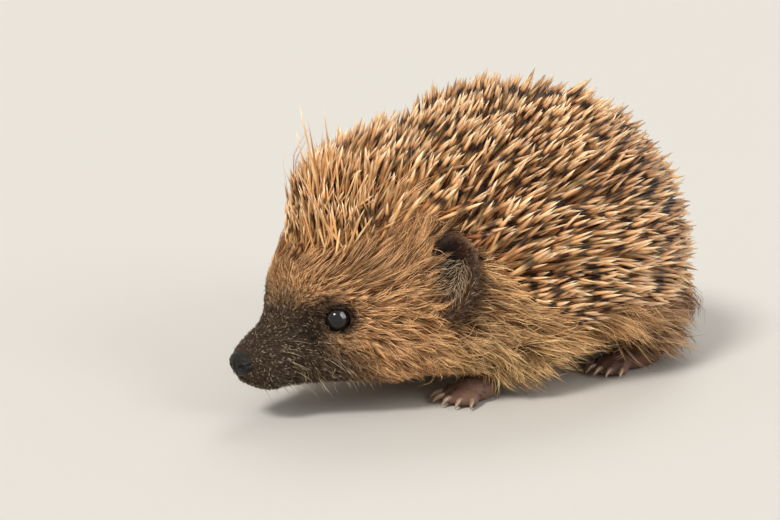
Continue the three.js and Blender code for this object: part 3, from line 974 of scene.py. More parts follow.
def quill_material():
    if found := bpy.data.materials.get("quill_horn"):
        return found
    q = bpy.context.scene.hedgehog_quills
    found, tree, shader = new_material("quill_horn", Roughness=0.5, Specular_IOR_Level=0.3)
    along, tone = kept(tree, "along").outputs["Fac"], kept(tree, "tone").outputs["Fac"]
    shift = maths(tree, "MULTIPLY", maths(tree, "SUBTRACT", tone, 0.5), 0.1)
    at = maths(tree, "ADD", along, shift)
    streak = kept(tree, "band").outputs["Fac"]
    hue = maths(tree, "FRACT", maths(tree, "MULTIPLY", tone, 5.3))
    shaft = mixed(tree, hue, q.shaft, q.pale_shaft)
    # The shaft darkens towards the root, painted shade deep in the mantle.
    shaft = mixed(tree, ramp(tree, along, 0.0, 0.56), QUILL_FOOT_SHADE, shaft)
    dark = maths(tree, "MULTIPLY", ramp(tree, at, 0.44, 0.6), ramp(tree, at, 0.78, 0.68))
    pale = mixed(tree, ramp(tree, at, 0.72, 1.0), q.tip_base, q.tip)
    base = mixed(tree, ramp(tree, at, 0.66, 0.78), shaft, pale)
    base = mixed(tree, maths(tree, "MULTIPLY", dark, streak), base, q.band)
    paint = placed(tree, "strand_tone", toned, Colour=base, Tone=tone, Strength=0.8)
    tree.links.new(paint.outputs["Colour"], shader.inputs["Base Color"])
    return found


def leather_material(name, tint, scale, distance, roughness, gloss):
    """Bare leather or horn: a colour darkened in its creases as painted shade, with fine pebbles."""
    found, tree, shader = new_material(name, Roughness=roughness, Specular_IOR_Level=gloss)
    place = add(tree, "TexCoord").outputs["Object"]
    height = placed(tree, "fine_grain", grain, Place=place, Scale=scale).outputs["Height"]
    # Painted shade: the colour halves where the grain is low, in its creases.
    base = mixed(tree, ramp(tree, height, 0.2, 0.8), [x * 0.5 for x in tint], tint)
    worn = ramp(tree, noise(tree, place, scale / 8), 0.35, 0.75, 0.0, 0.4)
    base = mixed(tree, worn, base, [x * 1.7 for x in tint])
    tree.links.new(base, shader.inputs["Base Color"])
    bump = add(tree, "Bump", {"Height": height, "Strength": 0.6, "Distance": distance})
    tree.links.new(bump.outputs["Normal"], shader.inputs["Normal"])
    return found


PUPIL = linear(2, 2, 3)
DARK_IRIS, PALE_IRIS = linear(14, 11, 11), linear(34, 27, 25)
EYE_EDGE = linear(12, 11, 12)


def eye_material():
    """A dark brown iris hardly paler than the pupil, under a wet front."""
    found, tree, shader = new_material("wet_eye", Roughness=0.05, Specular_IOR_Level=0.5)
    rings = kept(tree, "ring").outputs["Fac"]
    place = add(tree, "TexCoord").outputs["Object"]
    fibres = noise(tree, place, 2600.0, 3.0)
    iris = mixed(tree, ramp(tree, fibres, 0.3, 0.7), DARK_IRIS, PALE_IRIS)
    base = mixed(tree, ramp(tree, rings, 0.36, 0.44), PUPIL, iris)
    base = mixed(tree, ramp(tree, rings, 0.62, 0.8), base, EYE_EDGE)
    tree.links.new(base, shader.inputs["Base Color"])
    return found


# ---------------------------------------------------------------- operators


class HEDGEHOG_OT_skin(bpy.types.Operator):
    """One skin in place of head, jaw, neck, trunk, tail, ears, legs and feet"""

    bl_idname = "hedgehog.skin"
    bl_label = "Skin"

    def execute(self, context):
        piece = build_skin(context.scene.hedgehog_skin)
        piece.data.materials.clear()
        piece.data.materials.append(skin_material())
        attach(piece, "root")
        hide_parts(*FLESH, "tail", *ALL_LIMBS)
        return {"FINISHED"}


class HEDGEHOG_OT_eyes(bpy.types.Operator):
    """The two eyes"""

    bl_idname = "hedgehog.eyes"
    bl_label = "Eyes"

    def execute(self, context):
        skin = surface()
        sight = line_of_sight(skin.points, skin.normals)
        material = eye_material()
        for name, side in SIDES.items():
            flip = np.array([side, 1, 1])
            points, faces = ball((0, 0, 0), EYE_RADIUS, fineness=5)
            out = points @ (sight * flip) / EYE_RADIUS
            bulge = 1 + 0.05 * smoothstep(out, 0.45, 1.0)
            mesh = mesh_of(f"eye_{name}_ball", points * bulge[:, None] + EYE * flip, faces)
            add_values(mesh, "ring", np.arccos(np.clip(out, -1, 1)) / (math.pi / 2))
            mesh.materials.append(material)
            piece = new_object(f"eye_{name}_ball", mesh)
            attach(piece, "root")
            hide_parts(f"eye_{name}")
        return {"FINISHED"}


class HEDGEHOG_OT_nose(bpy.types.Operator):
    """The black leather of the nose, with its nostrils and the groove between them"""

    bl_idname = "hedgehog.nose"
    bl_label = "Nose"

    def execute(self, context):
        half = size("nose") / 2
        points, faces = ball((0, 0, 0), 1, fineness=6)
        x, y, z = points.T
        across = np.abs(x)
        folded = np.stack([across, y, z], 1)
        hole = np.linalg.norm((folded - (0.5, -0.78, -0.22)) * (1, 1, 1.2), axis=1)
        start, end = np.array([0.55, -0.74, -0.18]), np.array([0.97, -0.16, 0.02])
        share = np.clip(((folded - start) @ (end - start)) / ((end - start) @ (end - start)), 0, 1)
        slit = np.linalg.norm(folded - start - share[:, None] * (end - start), axis=1)
        deep = 0.4 * smoothstep(hole, 0.27, 0.06) + 0.13 * smoothstep(slit, 0.13, 0.02)
        rims = 0.05 * smoothstep(np.abs(hole - 0.36), 0.14, 0) + 0.04 * smoothstep(np.abs(slit - 0.2), 0.1, 0)
        groove = 0.11 * smoothstep(across, 0.12, 0.0) * smoothstep(z, 0.45, 0.1) * smoothstep(y, 0.0, -0.3)
        scale = 1 - deep + rims - groove
        shape = points * scale[:, None]
        front = np.maximum(-shape[:, 1] - 0.55, 0)
        shape[:, 1] += 0.35 * front
        top = np.maximum(shape[:, 2] - 0.35, 0)
        shape[:, 2] -= 0.4 * top + 0.16 * np.maximum(-shape[:, 1], 0) * smoothstep(shape[:, 2], 0, 0.6)
        shape = shape * half
        mesh = mesh_of("nose_pad", shape + NOSE, faces)
        tint = context.scene.hedgehog_colours.nose
        mesh.materials.append(leather_material("nose_leather_wet", tint, scale=2600.0, distance=0.14 * MM,
                                               roughness=0.46, gloss=0.22))
        piece = new_object("nose_pad", mesh)
        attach(piece, "root")
        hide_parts("nose")
        return {"FINISHED"}


class HEDGEHOG_OT_claws(bpy.types.Operator):
    """Five claws on each foot"""

    bl_idname = "hedgehog.claws"
    bl_label = "Claws"

    def execute(self, context):
        tint = context.scene.hedgehog_colours.claw
        material = leather_material("claw_horn", tint, scale=1800.0, distance=0.05 * MM, roughness=0.35,
                                    gloss=0.4)
        for foot, claw in CLAW_LENGTHS.items():
            # Past the toe's end and high, in millimetres.
            marks = [(-1.2, 1.7), (0.2 * claw, 2.3), (0.5 * claw, 2.1), (0.8 * claw, 1.2), (claw, 0.35)]
            for side in SIDES:
                lines = [[place(toe + far, high) for far, high in marks] for place, toe in toes(foot, side)]
                lines = np.array(lines).transpose(1, 0, 2)
                radii = np.outer([0.75, 0.85, 0.68, 0.4], np.ones(lines.shape[1])) * MM
                up = np.tile([0.0, 0.0, 1.0], (lines.shape[1], 1))
                points, faces, *_ = tubes(lines, radii, 10, up, flat=1.15)
                name = f"claws_{foot}_{side}"
                points[:, 2] = np.maximum(points[:, 2], FLOOR_GAP)
                mesh = mesh_of(name, points, faces)
                mesh.materials.append(material)
                piece = new_object(name, mesh)
                smooth = piece.modifiers.new("smooth", "SUBSURF")
                smooth.levels = smooth.render_levels = 1
                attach(piece, "root")
        return {"FINISHED"}


def quill_way(points):
    """The way the quills point: up over the brow, back along the body and a little down at its lower edge."""
    back, high = back_of(points), points[:, 2] / MM
    rise = np.interp(back, [20, 40, 60, 90, 130, 160], [2.2, 1.4, 0.65, 0.3, 0.1, -0.2])
    rise = rise + np.interp(high, [15, 25, 40, 60, 85], [-0.6, -0.45, -0.25, 0.1, 0.3])
    aft = np.interp(back, [20, 32, 45, 60, 160], [0.12, 0.3, 0.7, 1, 1])
    side = np.sign(points[:, 0]) * 0.12
    return unit(np.stack([side, aft, rise], 1))


def quill_reach(points, normals):
    """The length of the quills: shorter on the ridge of the back, where they stand more upright."""
    ridge = np.clip(normals[:, 2], 0, 1) ** 2
    return np.interp(back_of(points), [20, 40, 60, 160], [17, 17, 19, 18]) * (1 - 0.22 * ridge) * MM


def quill_lift(points, normals):
    """How much the quills stand off the skin, from 0, flat, to 1, upright, where the coat is thick enough."""
    top = np.clip(normals[:, 2], 0, 1)
    return np.interp(back_of(points), [20, 34, 55, 90, 160], [0.85, 0.85, 0.62, 0.55, 0.55]) + 0.15 * top


def raised(way, normals, lift):
    return unit(way * np.sqrt(1 - lift ** 2)[:, None] + normals * lift[:, None])


def fitted_quills(skin, roots, normals, way, lift, reach, stray):
    """Turns each quill flatter or steeper until its own length takes it just to the outline of the coat."""
    for _ in range(9):
        ahead = unit(raised(way, normals, lift) + stray)
        hits = [skin.outline.ray_cast(Vector(r), Vector(a)) for r, a in zip(roots + normals * MM, ahead)]
        free = np.array([hit[3] if hit[0] else 0.0 for hit in hits]) + MM
        lift = np.where(free < 0.92 * reach, lift * 0.86, np.where(free > 1.12 * reach, lift * 1.1, lift))
        lift = np.clip(lift, 0.08, 0.96)
    return ahead, np.clip(free, 0.5 * reach, 1.15 * reach)


def clumps(roots, gap):
    """Which clump each quill belongs to: that with the nearest middle."""
    middles = roots[spaced(roots, gap)]
    return np.linalg.norm(roots[:, None] - middles[None], axis=2).argmin(1)


def gathered(tips, clump, amount):
    """Tips drawn by amount towards the mean of their clump."""
    count = np.maximum(np.bincount(clump), 1)
    mean = np.stack([np.bincount(clump, tip) / count for tip in tips.T], 1)
    return tips + amount * (mean[clump] - tips)


QUILL_STATIONS = np.array([0, 0.12, 0.42, 0.7, 0.86, 1])
QUILL_WIDTHS = np.array([0.4, 0.66, 0.85, 1.0, 0.66])
QUILL_SIDES = 6
# The tips of the few long thin quills over the brow: across, behind the nose tip and high, in millimetres.
LONG_QUILLS = ((2.0, 20.6, 84.0), (3.2, 22.5, 80.0), (1.0, 20.0, 77.5), (5.5, 26.0, 83.6))


def quill_lines(roots, normals, ahead, reach, sag):
    """The middle line of each quill, at QUILL_STATIONS."""
    lines = [
        roots + ahead * (reach * s)[:, None] + normals * (sag * reach * s * s - 0.5 * MM)[:, None]
        for s in QUILL_STATIONS
    ]
    return np.array(lines)


def long_quills(skin):
    """The long thin quills that stand over the brow: their roots, normals, ways and lengths."""
    tips = np.array([[x * MM, NOSE_Y + b * MM, z * MM] for x, b, z in LONG_QUILLS])
    _, face, _ = nearest(skin.tree, tips + np.array([0, 4.5, -30]) * MM)
    roots = skin.points[skin.triangles[face]].mean(1)
    normals = skin.flow_normals[skin.triangles[face]].mean(1)
    way = tips - roots
    return roots, unit(normals), unit(way), np.linalg.norm(way, axis=1)


def quill_places(skin, settings, rng):
    """Where quills grow, spaced out evenly and closer together over the brow."""
    back = back_of(skin.points)
    edge = smoothstep(back, 50, 40)
    dense = smoothstep(skin.mantle, 0.45, 0.7) * (1 - edge * smoothstep(skin.inland, 0.95, 0.5))
    face, parts = skin.scatter(settings.tries, dense, rng)
    order = rng.permutation(len(face))
    face, parts = face[order], parts[order]
    roots = skin.at(skin.points, face, parts)
    brow = back_of(roots) < 33
    chosen = []
    for zone, gap in ((brow, settings.brow_spacing), (~brow, settings.spacing)):
        index = np.flatnonzero(zone)
        chosen.append(index[spaced(roots[index], gap)])
    chosen = np.concatenate(chosen)
    return face[chosen], parts[chosen], roots[chosen]


class HEDGEHOG_OT_quills(bpy.types.Operator):
    """The quills of crown and back"""

    bl_idname = "hedgehog.quills"
    bl_label = "Quills"

    def execute(self, context):
        settings = context.scene.hedgehog_quills
        skin, rng = surface(), np.random.default_rng(7)
        face, parts, roots = quill_places(skin, settings, rng)
        normals = unit(skin.at(skin.broad_normals, face, parts))
        count = len(roots)
        clump = clumps(roots, settings.clump)
        many = clump.max() + 1
        back = back_of(roots)
        brow = smoothstep(back, 42, 30)
        crown = smoothstep(back, 75, 50)
        swing = (rng.normal(0, 0.24, count) + rng.normal(0, 0.14, many)[clump]) * (1 + 0.45 * crown)
        way = turned(laid(quill_way(roots), normals), normals, swing)
        reach = quill_reach(roots, normals) * rng.uniform(0.82, 1.12, count)
        lift = quill_lift(roots, normals) + rng.normal(0, 0.08, count) + rng.normal(0, 0.08, many)[clump]
        loose = np.interp(roots[:, 2] / MM, [22, 38], [0.6, 1.0]) + 0.8 * brow
        stray = rng.normal(0, 0.1, (count, 3)) * (loose * (1 + 0.5 * crown))[:, None]
        ahead, reach = fitted_quills(skin, roots, normals, way, np.clip(lift, 0.15, 0.95), reach, stray)
        reach = reach * rng.uniform(0.85, 1.1, count) * rng.uniform(0.74, 1.12, many)[clump]
        tips = gathered(roots + ahead * reach[:, None], clump, 0.24)
        ahead, reach = unit(tips - roots), np.linalg.norm(tips - roots, axis=1)
        hairline = brow * smoothstep(skin.at(skin.inland, face, parts), 0.85, 0.45)
        reach = reach * (1 - 0.4 * hairline)
        lines = quill_lines(roots, normals, ahead, reach, rng.normal(0, 0.03, count) - 0.015)
        thick = settings.thickness * (1 - brow) + settings.brow_thickness * brow
        thick = thick / 2 * rng.uniform(0.6, 1.2, count)
        thick = thick * (1 - 0.25 * hairline)
        band = np.clip(rng.normal(0.92, 0.2, count), 0.15, 1)
        patch = rng.random(many)[clump] * 0.6 + rng.random(count) * 0.4 < 0.42
        band = band * (1 - smoothstep(back, 52, 32) * np.where(patch, 0.1, 0.85))
        extra = long_quills(skin)
        lines = np.concatenate([lines, quill_lines(*extra, np.zeros(len(LONG_QUILLS)))], 1)
        roots, normals = np.concatenate([roots, extra[0]]), np.concatenate([normals, extra[1]])
        thick = np.concatenate([thick, np.full(len(LONG_QUILLS), 0.24 * MM)])
        band = np.concatenate([band, np.full(len(LONG_QUILLS), 0.3)])
        tones = rng.random(len(roots))
        tones[:count] = (0.65 * tones[:count] + 0.35 * rng.random(many)[clump]) * (1 - 0.1 * hairline)
        radii = QUILL_WIDTHS[:, None] * thick[None]
        back = back_of(roots)
        material = quill_material()
        edge = back_of(np.array([[0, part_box("spines_back")[0].y, 0]]))[0]
        halfway = (edge + back.max()) / 2
        sets = {
            "quills_crown": (back < edge, ["spines_crown"]),
            "quills_back": ((back >= edge) & (back < halfway), ["spines_back"]),
            "quills_rump": (back >= halfway, ["spines_back"]),
        }
        for name, (chosen, nodes) in sets.items():
            piece = coat_piece(name, lines[:, chosen], radii[:, chosen], QUILL_SIDES, normals[chosen],
                               roots[chosen], tones[chosen], material)
            add_values(piece.data, "band", np.repeat(band[chosen], QUILL_SIDES * len(QUILL_WIDTHS) + 1))
            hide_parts(*nodes)
        return {"FINISHED"}


def swirl(points):
    """Broad uneven turns in the lie of the fur, mostly between -1 and 1."""
    x, y, z = (points / MM).T
    waves = np.sin(0.61 * y + 0.43 * z) + np.sin(0.37 * z - 0.52 * y + 0.4 * x + 1.3)
    return (waves + np.sin(0.9 * z + 0.31 * y)) / 2.2


def fur_way(points, normals):
    """The way the fur lies: up the forehead, back over the cheeks, down the flanks, away from the eyes."""
    back, high = back_of(points), points[:, 2] / MM
    face = np.interp(high, [10, 16, 24, 30, 36, 44, 52], [-0.9, -0.65, -0.35, -0.1, 0.25, 0.9, 1.5])
    body = np.interp(high, [8, 16, 26, 40], [-0.62, -0.45, -0.28, -0.05])
    body = body * np.interp(back, [120, 150], [1, 0.45])
    part = smoothstep(back, 44, 64)
    fall = face * (1 - part) + body * part
    out = np.sign(points[:, 0]) * np.interp(back, [0, 30, 60, 160], [0.05, 0.12, 0.1, 0.0])
    fall = fall - 2.2 * smoothstep(normals[:, 1], 0.15, 0.8) * smoothstep(back, 110, 130)
    way = unit(np.stack([out, np.ones(len(points)), fall], 1))
    for side in SIDES.values():
        away = points - EYE * (side, 1, 1)
        far = np.linalg.norm(away, axis=1, keepdims=True)
        way = way + unit(away) * 1.1 * np.exp(-((far / (5 * MM)) ** 2))
    return unit(way)


# The layers of the fur: their share of the strands, how long and how high they are, how far the tips of a
# tuft gather, the tones they span and how far they stray from the lie of the coat.
# The undercoat's low tones are partly its own darker colour and partly painted shade deep in the coat.
UNDER = {"share": 0.33, "length": 0.75, "rise": (0.15, 0.55), "gather": 0.2, "tone": (0.0, 0.3), "wild": 1.0}
OVER = {"share": 0.59, "length": 1.0, "rise": (0.5, 1.15), "gather": 0.7, "tone": (0.1, 1.0), "wild": 1.0}
STRAY = {"share": 0.08, "length": 1.15, "rise": (0.8, 1.3), "gather": 0.0, "tone": (0.5, 0.89), "wild": 2.4}


def fur_layer(layer, skin, rng, weight, count, per, shape, steps):
    """One layer of tufts: strands, their radii, normals, roots and tones."""
    taper = np.interp(np.arange(steps) / steps, [0, 0.35, 1], [0.8, 1.0, 0.35])
    per = 1 if layer is STRAY else per
    tufts = int(count * layer["share"]) // per
    face, shares = skin.scatter(tufts, weight, rng)
    roots = skin.at(skin.points, face, shares)
    normals = unit(skin.at(skin.flow_normals, face, shares))
    depth = skin.at(skin.depth, face, shares)
    far, rise, spread, cling, width, wild = shape(roots, normals, depth)
    far = far * rng.uniform(0.72, 1.18, tufts) * layer["length"]
    rise = rise * rng.uniform(*layer["rise"], tufts)
    bends = (rng.normal(0, 1, tufts) * layer["wild"] + 1.3 * swirl(roots)) * wild
    lines = comb(skin, roots, normals, fur_way, far, rise, cling, steps, bends)
    strands, guide, off = tufted(lines, normals, per, spread, layer["gather"], rng, waver=0.45)
    radii = taper[:, None] * (width[guide] / 2 * rng.uniform(0.75, 1.2, len(guide)))[None]
    mix = rng.random(tufts)[guide] * 0.65 + rng.random(len(guide)) * 0.35
    low, high = layer["tone"]
    tones = low + (high - low) * np.clip(0.5 + 1.5 * (mix - 0.5), 0, 1)
    # Only strands chosen for a pale tip have a tone over SPECKLED.
    tones = np.where(rng.random(len(guide)) > SPECKLED, 0.97, np.minimum(tones, 0.92))
    clear = strands[:, :, 2].min(0) > 0.3 * MM
    places = roots[guide] + off
    return strands[:, clear], radii[:, clear], normals[guide][clear], places[clear], tones[clear]


FUR_SIDES = 3
FUR_FLATNESS = 0.6


def fur_pieces(name, skin, rng, weight, count, per, shape, pieces, steps):
    """Scatters tufts of fur and makes pieces of coat from them.

    shape(points, normals, depth) gives for each tuft its length, height, spread, cling, width and wildness,
    which is how far it may turn from the lie of the coat, in radians.
    """
    sets = [fur_layer(layer, skin, rng, weight, count, per, shape, steps) for layer in (UNDER, OVER, STRAY)]
    strands, radii = (np.concatenate([kind[i] for kind in sets], 1) for i in (0, 1))
    normals, places, tones = (np.concatenate([kind[i] for kind in sets]) for i in (2, 3, 4))
    order = np.argsort(places[:, 1], kind="stable")
    for i, chosen in enumerate(np.array_split(order, pieces)):
        label = name if pieces == 1 else f"{name}_{i + 1}"
        piece = coat_piece(label, strands[:, chosen], radii[:, chosen], FUR_SIDES, normals[chosen],
                           places[chosen], tones[chosen], fur_material(), FUR_FLATNESS)


def from_eyes(points):
    """The distance of points from the nearer eye's middle."""
    return np.min([np.linalg.norm(points - EYE * (side, 1, 1), axis=1) for side in SIDES.values()], 0)


def beside_eyes(points):
    """0 on the eyes and the edges of the lids, and 1 beyond, where fur grows."""
    return smoothstep(from_eyes(points), 1.05 * EYE_RADIUS, 1.2 * EYE_RADIUS)


def up_the_face(points):
    """How far points lie behind the nose tip in mm, measured along the rise of the forehead."""
    back = back_of(points)
    return back + 0.9 * np.maximum(points[:, 2] / MM - 29, 0) * smoothstep(back, 45, 30)


class HEDGEHOG_OT_muzzle_fur(bpy.types.Operator):
    """Short dense bristly fur of the muzzle"""

    bl_idname = "hedgehog.muzzle_fur"
    bl_label = "Muzzle fur"

    def execute(self, context):
        skin, rng = surface(), np.random.default_rng(10)
        back = back_of(skin.points)
        weight = smoothstep(back, 1.8, 4) * smoothstep(up_the_face(skin.points), 31, 23) * (1 - skin.limb)
        weight *= beside_eyes(skin.points)

        def shape(points, normals, depth):
            b = up_the_face(points)
            far = np.interp(b, [0, 8, 16, 24, 32], [1.0, 1.2, 1.6, 2.6, 4.4]) * MM
            rise = np.minimum(np.interp(b, [0, 12, 30], [0.45, 0.5, 0.4]) * far, depth + 0.4 * MM)
            spread = np.interp(b, [0, 14, 30], [0.4, 0.5, 0.8]) * MM
            width = np.interp(b, [0, 30], [0.15, 0.19]) * MM
            return far, rise, spread, np.full(len(points), 0.85), width, 0.26

        count = context.scene.hedgehog_fur.muzzle
        fur_pieces("fur_muzzle", skin, rng, weight, count, per=3, shape=shape, pieces=2, steps=2)
        return {"FINISHED"}


class HEDGEHOG_OT_face_fur(bpy.types.Operator):
    """Fur of forehead, crown and cheeks, from the muzzle to the quills and behind the ears"""

    bl_idname = "hedgehog.face_fur"
    bl_label = "Face fur"

    def execute(self, context):
        skin, rng = surface(), np.random.default_rng(11)
        back = back_of(skin.points)
        crown = smoothstep(back, 52, 42)
        inside = smoothstep(skin.inland, 0.93, 0.6) * (1 - crown)
        inside = inside + smoothstep(skin.inland, 0.998, 0.8) * crown
        weight = smoothstep(back, 68, 60) * inside * (1 - skin.limb)
        weight *= np.interp(up_the_face(skin.points), [0, 17, 26, 68], [0, 0, 1.15, 1.0])
        weight *= 1 + 0.9 * crown * smoothstep(skin.inland, 0.2, 0.6)
        weight *= 1 + 0.8 * smoothstep(from_eyes(skin.points), 8 * MM, 5 * MM)
        weight *= beside_eyes(skin.points)

        def shape(points, normals, depth):
            b = back_of(points)
            z = points[:, 2] / MM
            far = np.interp(up_the_face(points), [16, 24, 34, 50, 70], [2.6, 5.4, 8.6, 10.5, 12]) * MM
            far *= 0.28 + 0.72 * smoothstep(from_eyes(points), 3.2 * MM, 8.5 * MM)
            far *= 1 + 0.5 * smoothstep(points[:, 2], 40 * MM, 47 * MM) * smoothstep(b, 45, 35)
            ledge = smoothstep(z, 37, 41) * smoothstep(b, 34, 28)
            rise = np.minimum(depth * 0.95 + 1.8 * MM * ledge, 0.5 * far)
            spread = np.interp(b, [16, 26, 36, 60], [0.45, 0.6, 1.0, 1.3]) * MM
            jaw = smoothstep(z, 22, 14) * smoothstep(b, 20, 30)
            far *= 1 + 0.25 * jaw + 0.35 * smoothstep(z, 22, 14) * smoothstep(b, 32, 44)
            hairline = smoothstep(depth, 2.8 * MM, 6 * MM) * smoothstep(b, 50, 42)
            far *= 1 + 0.35 * hairline
            forehead = smoothstep(z, 31, 37) * smoothstep(z, 46, 41) * smoothstep(b, 48, 38)
            far *= 1 + 0.3 * forehead
            rise = rise * (1 - hairline) + 0.68 * far * hairline
            cling = 0.85 - 0.6 * np.maximum(jaw, hairline)
            width = np.interp(b, [16, 60], [0.2, 0.25]) * MM * (1 - 0.15 * forehead)
            wild = np.interp(b, [20, 40], [0.14, 0.22]) * (1 - 0.45 * forehead)
            return far, rise, spread, cling, width, wild

        count = context.scene.hedgehog_fur.face
        fur_pieces("fur_face", skin, rng, weight, count, per=6, shape=shape, pieces=3, steps=3)
        return {"FINISHED"}


class HEDGEHOG_OT_body_fur(bpy.types.Operator):
    """Long coarse hair of neck, flanks, rump and belly"""

    bl_idname = "hedgehog.body_fur"
    bl_label = "Body fur"

    def execute(self, context):
        skin, rng = surface(), np.random.default_rng(12)
        back = back_of(skin.points)
        weight = smoothstep(back, 54, 62) * smoothstep(skin.inland, 0.85, 0.5) * (1 - skin.limb)
        weight *= 1 - 0.6 * smoothstep(-skin.normals[:, 2], 0.3, 0.8)

        def shape(points, normals, depth):
            b, z = back_of(points), points[:, 2] / MM
            under = smoothstep(-normals[:, 2], 0.5, 0.9)
            far = np.interp(b, [50, 70, 100, 130, 155], [14, 21, 26, 20, 13.5]) * MM * (1 - 0.5 * under)
            rise = np.minimum(depth, 0.5 * far) * (1 - 0.4 * under)
            rise = rise * (1 - 0.4 * smoothstep(b, 95, 125))
            spread = np.full(len(points), 1.9 * MM)
            cling = np.interp(z, [10, 26], [0.15, 0.7])
            width = np.full(len(points), 0.28 * MM)
            return far, rise, spread, cling, width, 0.09

        count = context.scene.hedgehog_fur.flanks
        fur_pieces("fur_body", skin, rng, weight, count, per=6, shape=shape, pieces=3, steps=3)
        return {"FINISHED"}


class HEDGEHOG_OT_limb_fur(bpy.types.Operator):
    """Fuzz of ears, legs, feet and tail"""

    bl_idname = "hedgehog.limb_fur"
    bl_label = "Limb fur"

    def execute(self, context):
        skin, rng = surface(), np.random.default_rng(13)
        high = skin.points[:, 2] / MM
        weight = skin.limb * smoothstep(high, 2.5, 6) * smoothstep(skin.mantle, 0.75, 0.45)
        weight *= 1 + 3.2 * smoothstep(high, 22, 27)
        weight *= 1 + 3.0 * smoothstep(back_of(skin.points), 140, 146)

        def shape(points, normals, depth):
            z = points[:, 2] / MM
            far = np.interp(z, [3, 10, 20, 30, 40, 46], [1.6, 3.0, 4.0, 3.2, 2.6, 2.0]) * MM
            rise = np.interp(z, [20, 30], [0.2, 0.3]) * far
            spread = np.full(len(points), 0.6 * MM)
            width = np.interp(z, [20, 30], [0.26, 0.17]) * MM
            return far, rise, spread, np.full(len(points), 0.9), width, 0.2

        count = context.scene.hedgehog_fur.limbs
        fur_pieces("fur_limbs", skin, rng, weight, count, per=4, shape=shape, pieces=1, steps=2)
        return {"FINISHED"}


def bristles(skin, rng, weight, count, way, stand, reach, thickness):
    """Single stiff hairs, their least and greatest reach in millimetres: lines, radii, normals and roots."""
    face, parts = skin.scatter(count, weight, rng)
    roots = skin.at(skin.points, face, parts)
    normals = unit(skin.at(skin.flow_normals, face, parts))
    flat = laid(np.tile(way, (count, 1)), normals)
    ahead = unit(flat + normals * stand + rng.normal(0, 0.15, (count, 3)))
    far = rng.uniform(*reach, count) * MM
    stations = np.linspace(0, 1, 5)
    droop = np.array([0.0, 0.0, -0.25])
    lines = np.array([roots + ahead * (far * s)[:, None] + droop * (far * s * s)[:, None] for s in stations])
    radii = np.outer([1, 0.9, 0.7, 0.5], np.full(count, thickness / 2))
    return lines, radii, normals, roots


def wisp_material():
    """Pale hair, darker at the root."""
    found, tree, shader = new_material("pale_wisps", Roughness=0.6, Specular_IOR_Level=0.2)
    c = bpy.context.scene.hedgehog_colours
    along, tone = kept(tree, "along").outputs["Fac"], kept(tree, "tone").outputs["Fac"]
    base = mixed(tree, ramp(tree, along, 0.0, 0.7), c.tan_root, c.wisp)
    paint = placed(tree, "strand_tone", toned, Colour=base, Tone=tone, Strength=0.6)
    tree.links.new(paint.outputs["Colour"], shader.inputs["Base Color"])
    return found


class HEDGEHOG_OT_whiskers(bpy.types.Operator):
    """Whiskers of the muzzle, pale bristles along the jaw and wisps in the hollow of the ears"""

    bl_idname = "hedgehog.whiskers"
    bl_label = "Whiskers"

    def execute(self, context):
        skin, rng = surface(), np.random.default_rng(14)
        back, high = back_of(skin.points), skin.points[:, 2] / MM
        sides = smoothstep(back, 6, 9) * smoothstep(back, 24, 18)
        sides = sides * smoothstep(high, 12, 14) * smoothstep(high, 24, 20)
        jaw = smoothstep(back, 7, 12) * smoothstep(back, 44, 34) * smoothstep(high, 14, 11)
        jaw = jaw * smoothstep(skin.normals[:, 2], 0.1, -0.2)
        ears = [np.linalg.norm(skin.points - (EAR + np.array([0.5, -1.5, -1.5]) * MM) * (side, 1, 1), axis=1)
                for side in SIDES.values()]
        hollow = skin.limb * smoothstep(np.min(ears, 0), 8 * MM, 5 * MM)
        hollow = hollow * smoothstep(-skin.normals[:, 1], -0.2, 0.3)
        sets = (
            bristles(skin, rng, sides, 30, (0.0, 1.0, -0.35), 0.55, (5, 10), 0.13 * MM),
            bristles(skin, rng, jaw, 150, (0.0, 1.0, -0.5), 0.9, (2.5, 5.5), 0.15 * MM),
            bristles(skin, rng, hollow, 420, (0.0, 0.7, 0.7), 0.5, (2.5, 5.5), 0.16 * MM),
        )
        lines, radii = (np.concatenate([kind[i] for kind in sets], 1) for i in (0, 1))
        normals, roots = (np.concatenate([kind[i] for kind in sets]) for i in (2, 3))
        tones = rng.random(len(roots))
        piece = coat_piece("whiskers", lines, radii, 4, normals, roots, tones, wisp_material())
        return {"FINISHED"}


def toward(azimuth, elevation):
    """The way to an azimuth, from the front towards the animal's left, and an elevation."""
    flat = math.cos(elevation)
    return Vector((math.sin(azimuth) * flat, -math.cos(azimuth) * flat, math.sin(elevation)))


def aimed(name, data, way, place=(0, 0, 0)):
    """A camera or lamp at a place, which looks back along a way."""
    holder = new_object(name, data)
    holder.location = place
    holder.rotation_euler = way.to_track_quat("Z", "Y").to_euler()
    return holder


def sun(name, way, power, width, tint):
    """A broad soft light from far away."""
    data = bpy.data.lights.new(name, "SUN")
    data.energy = power
    data.color = tint
    data.angle = math.radians(width)
    aimed(name, data, way)


def softbox(name, aim, way, distance, side, power):
    """A soft panel that only gloss mirrors: it shows in wet eyes and lifts the sheen of the coat."""
    data = bpy.data.lights.new(name, "AREA")
    data.shape = "SQUARE"
    data.size = side
    data.energy = power
    lamp = aimed(name, data, way, Vector(aim) + way * distance)
    lamp.visible_camera = lamp.visible_diffuse = False


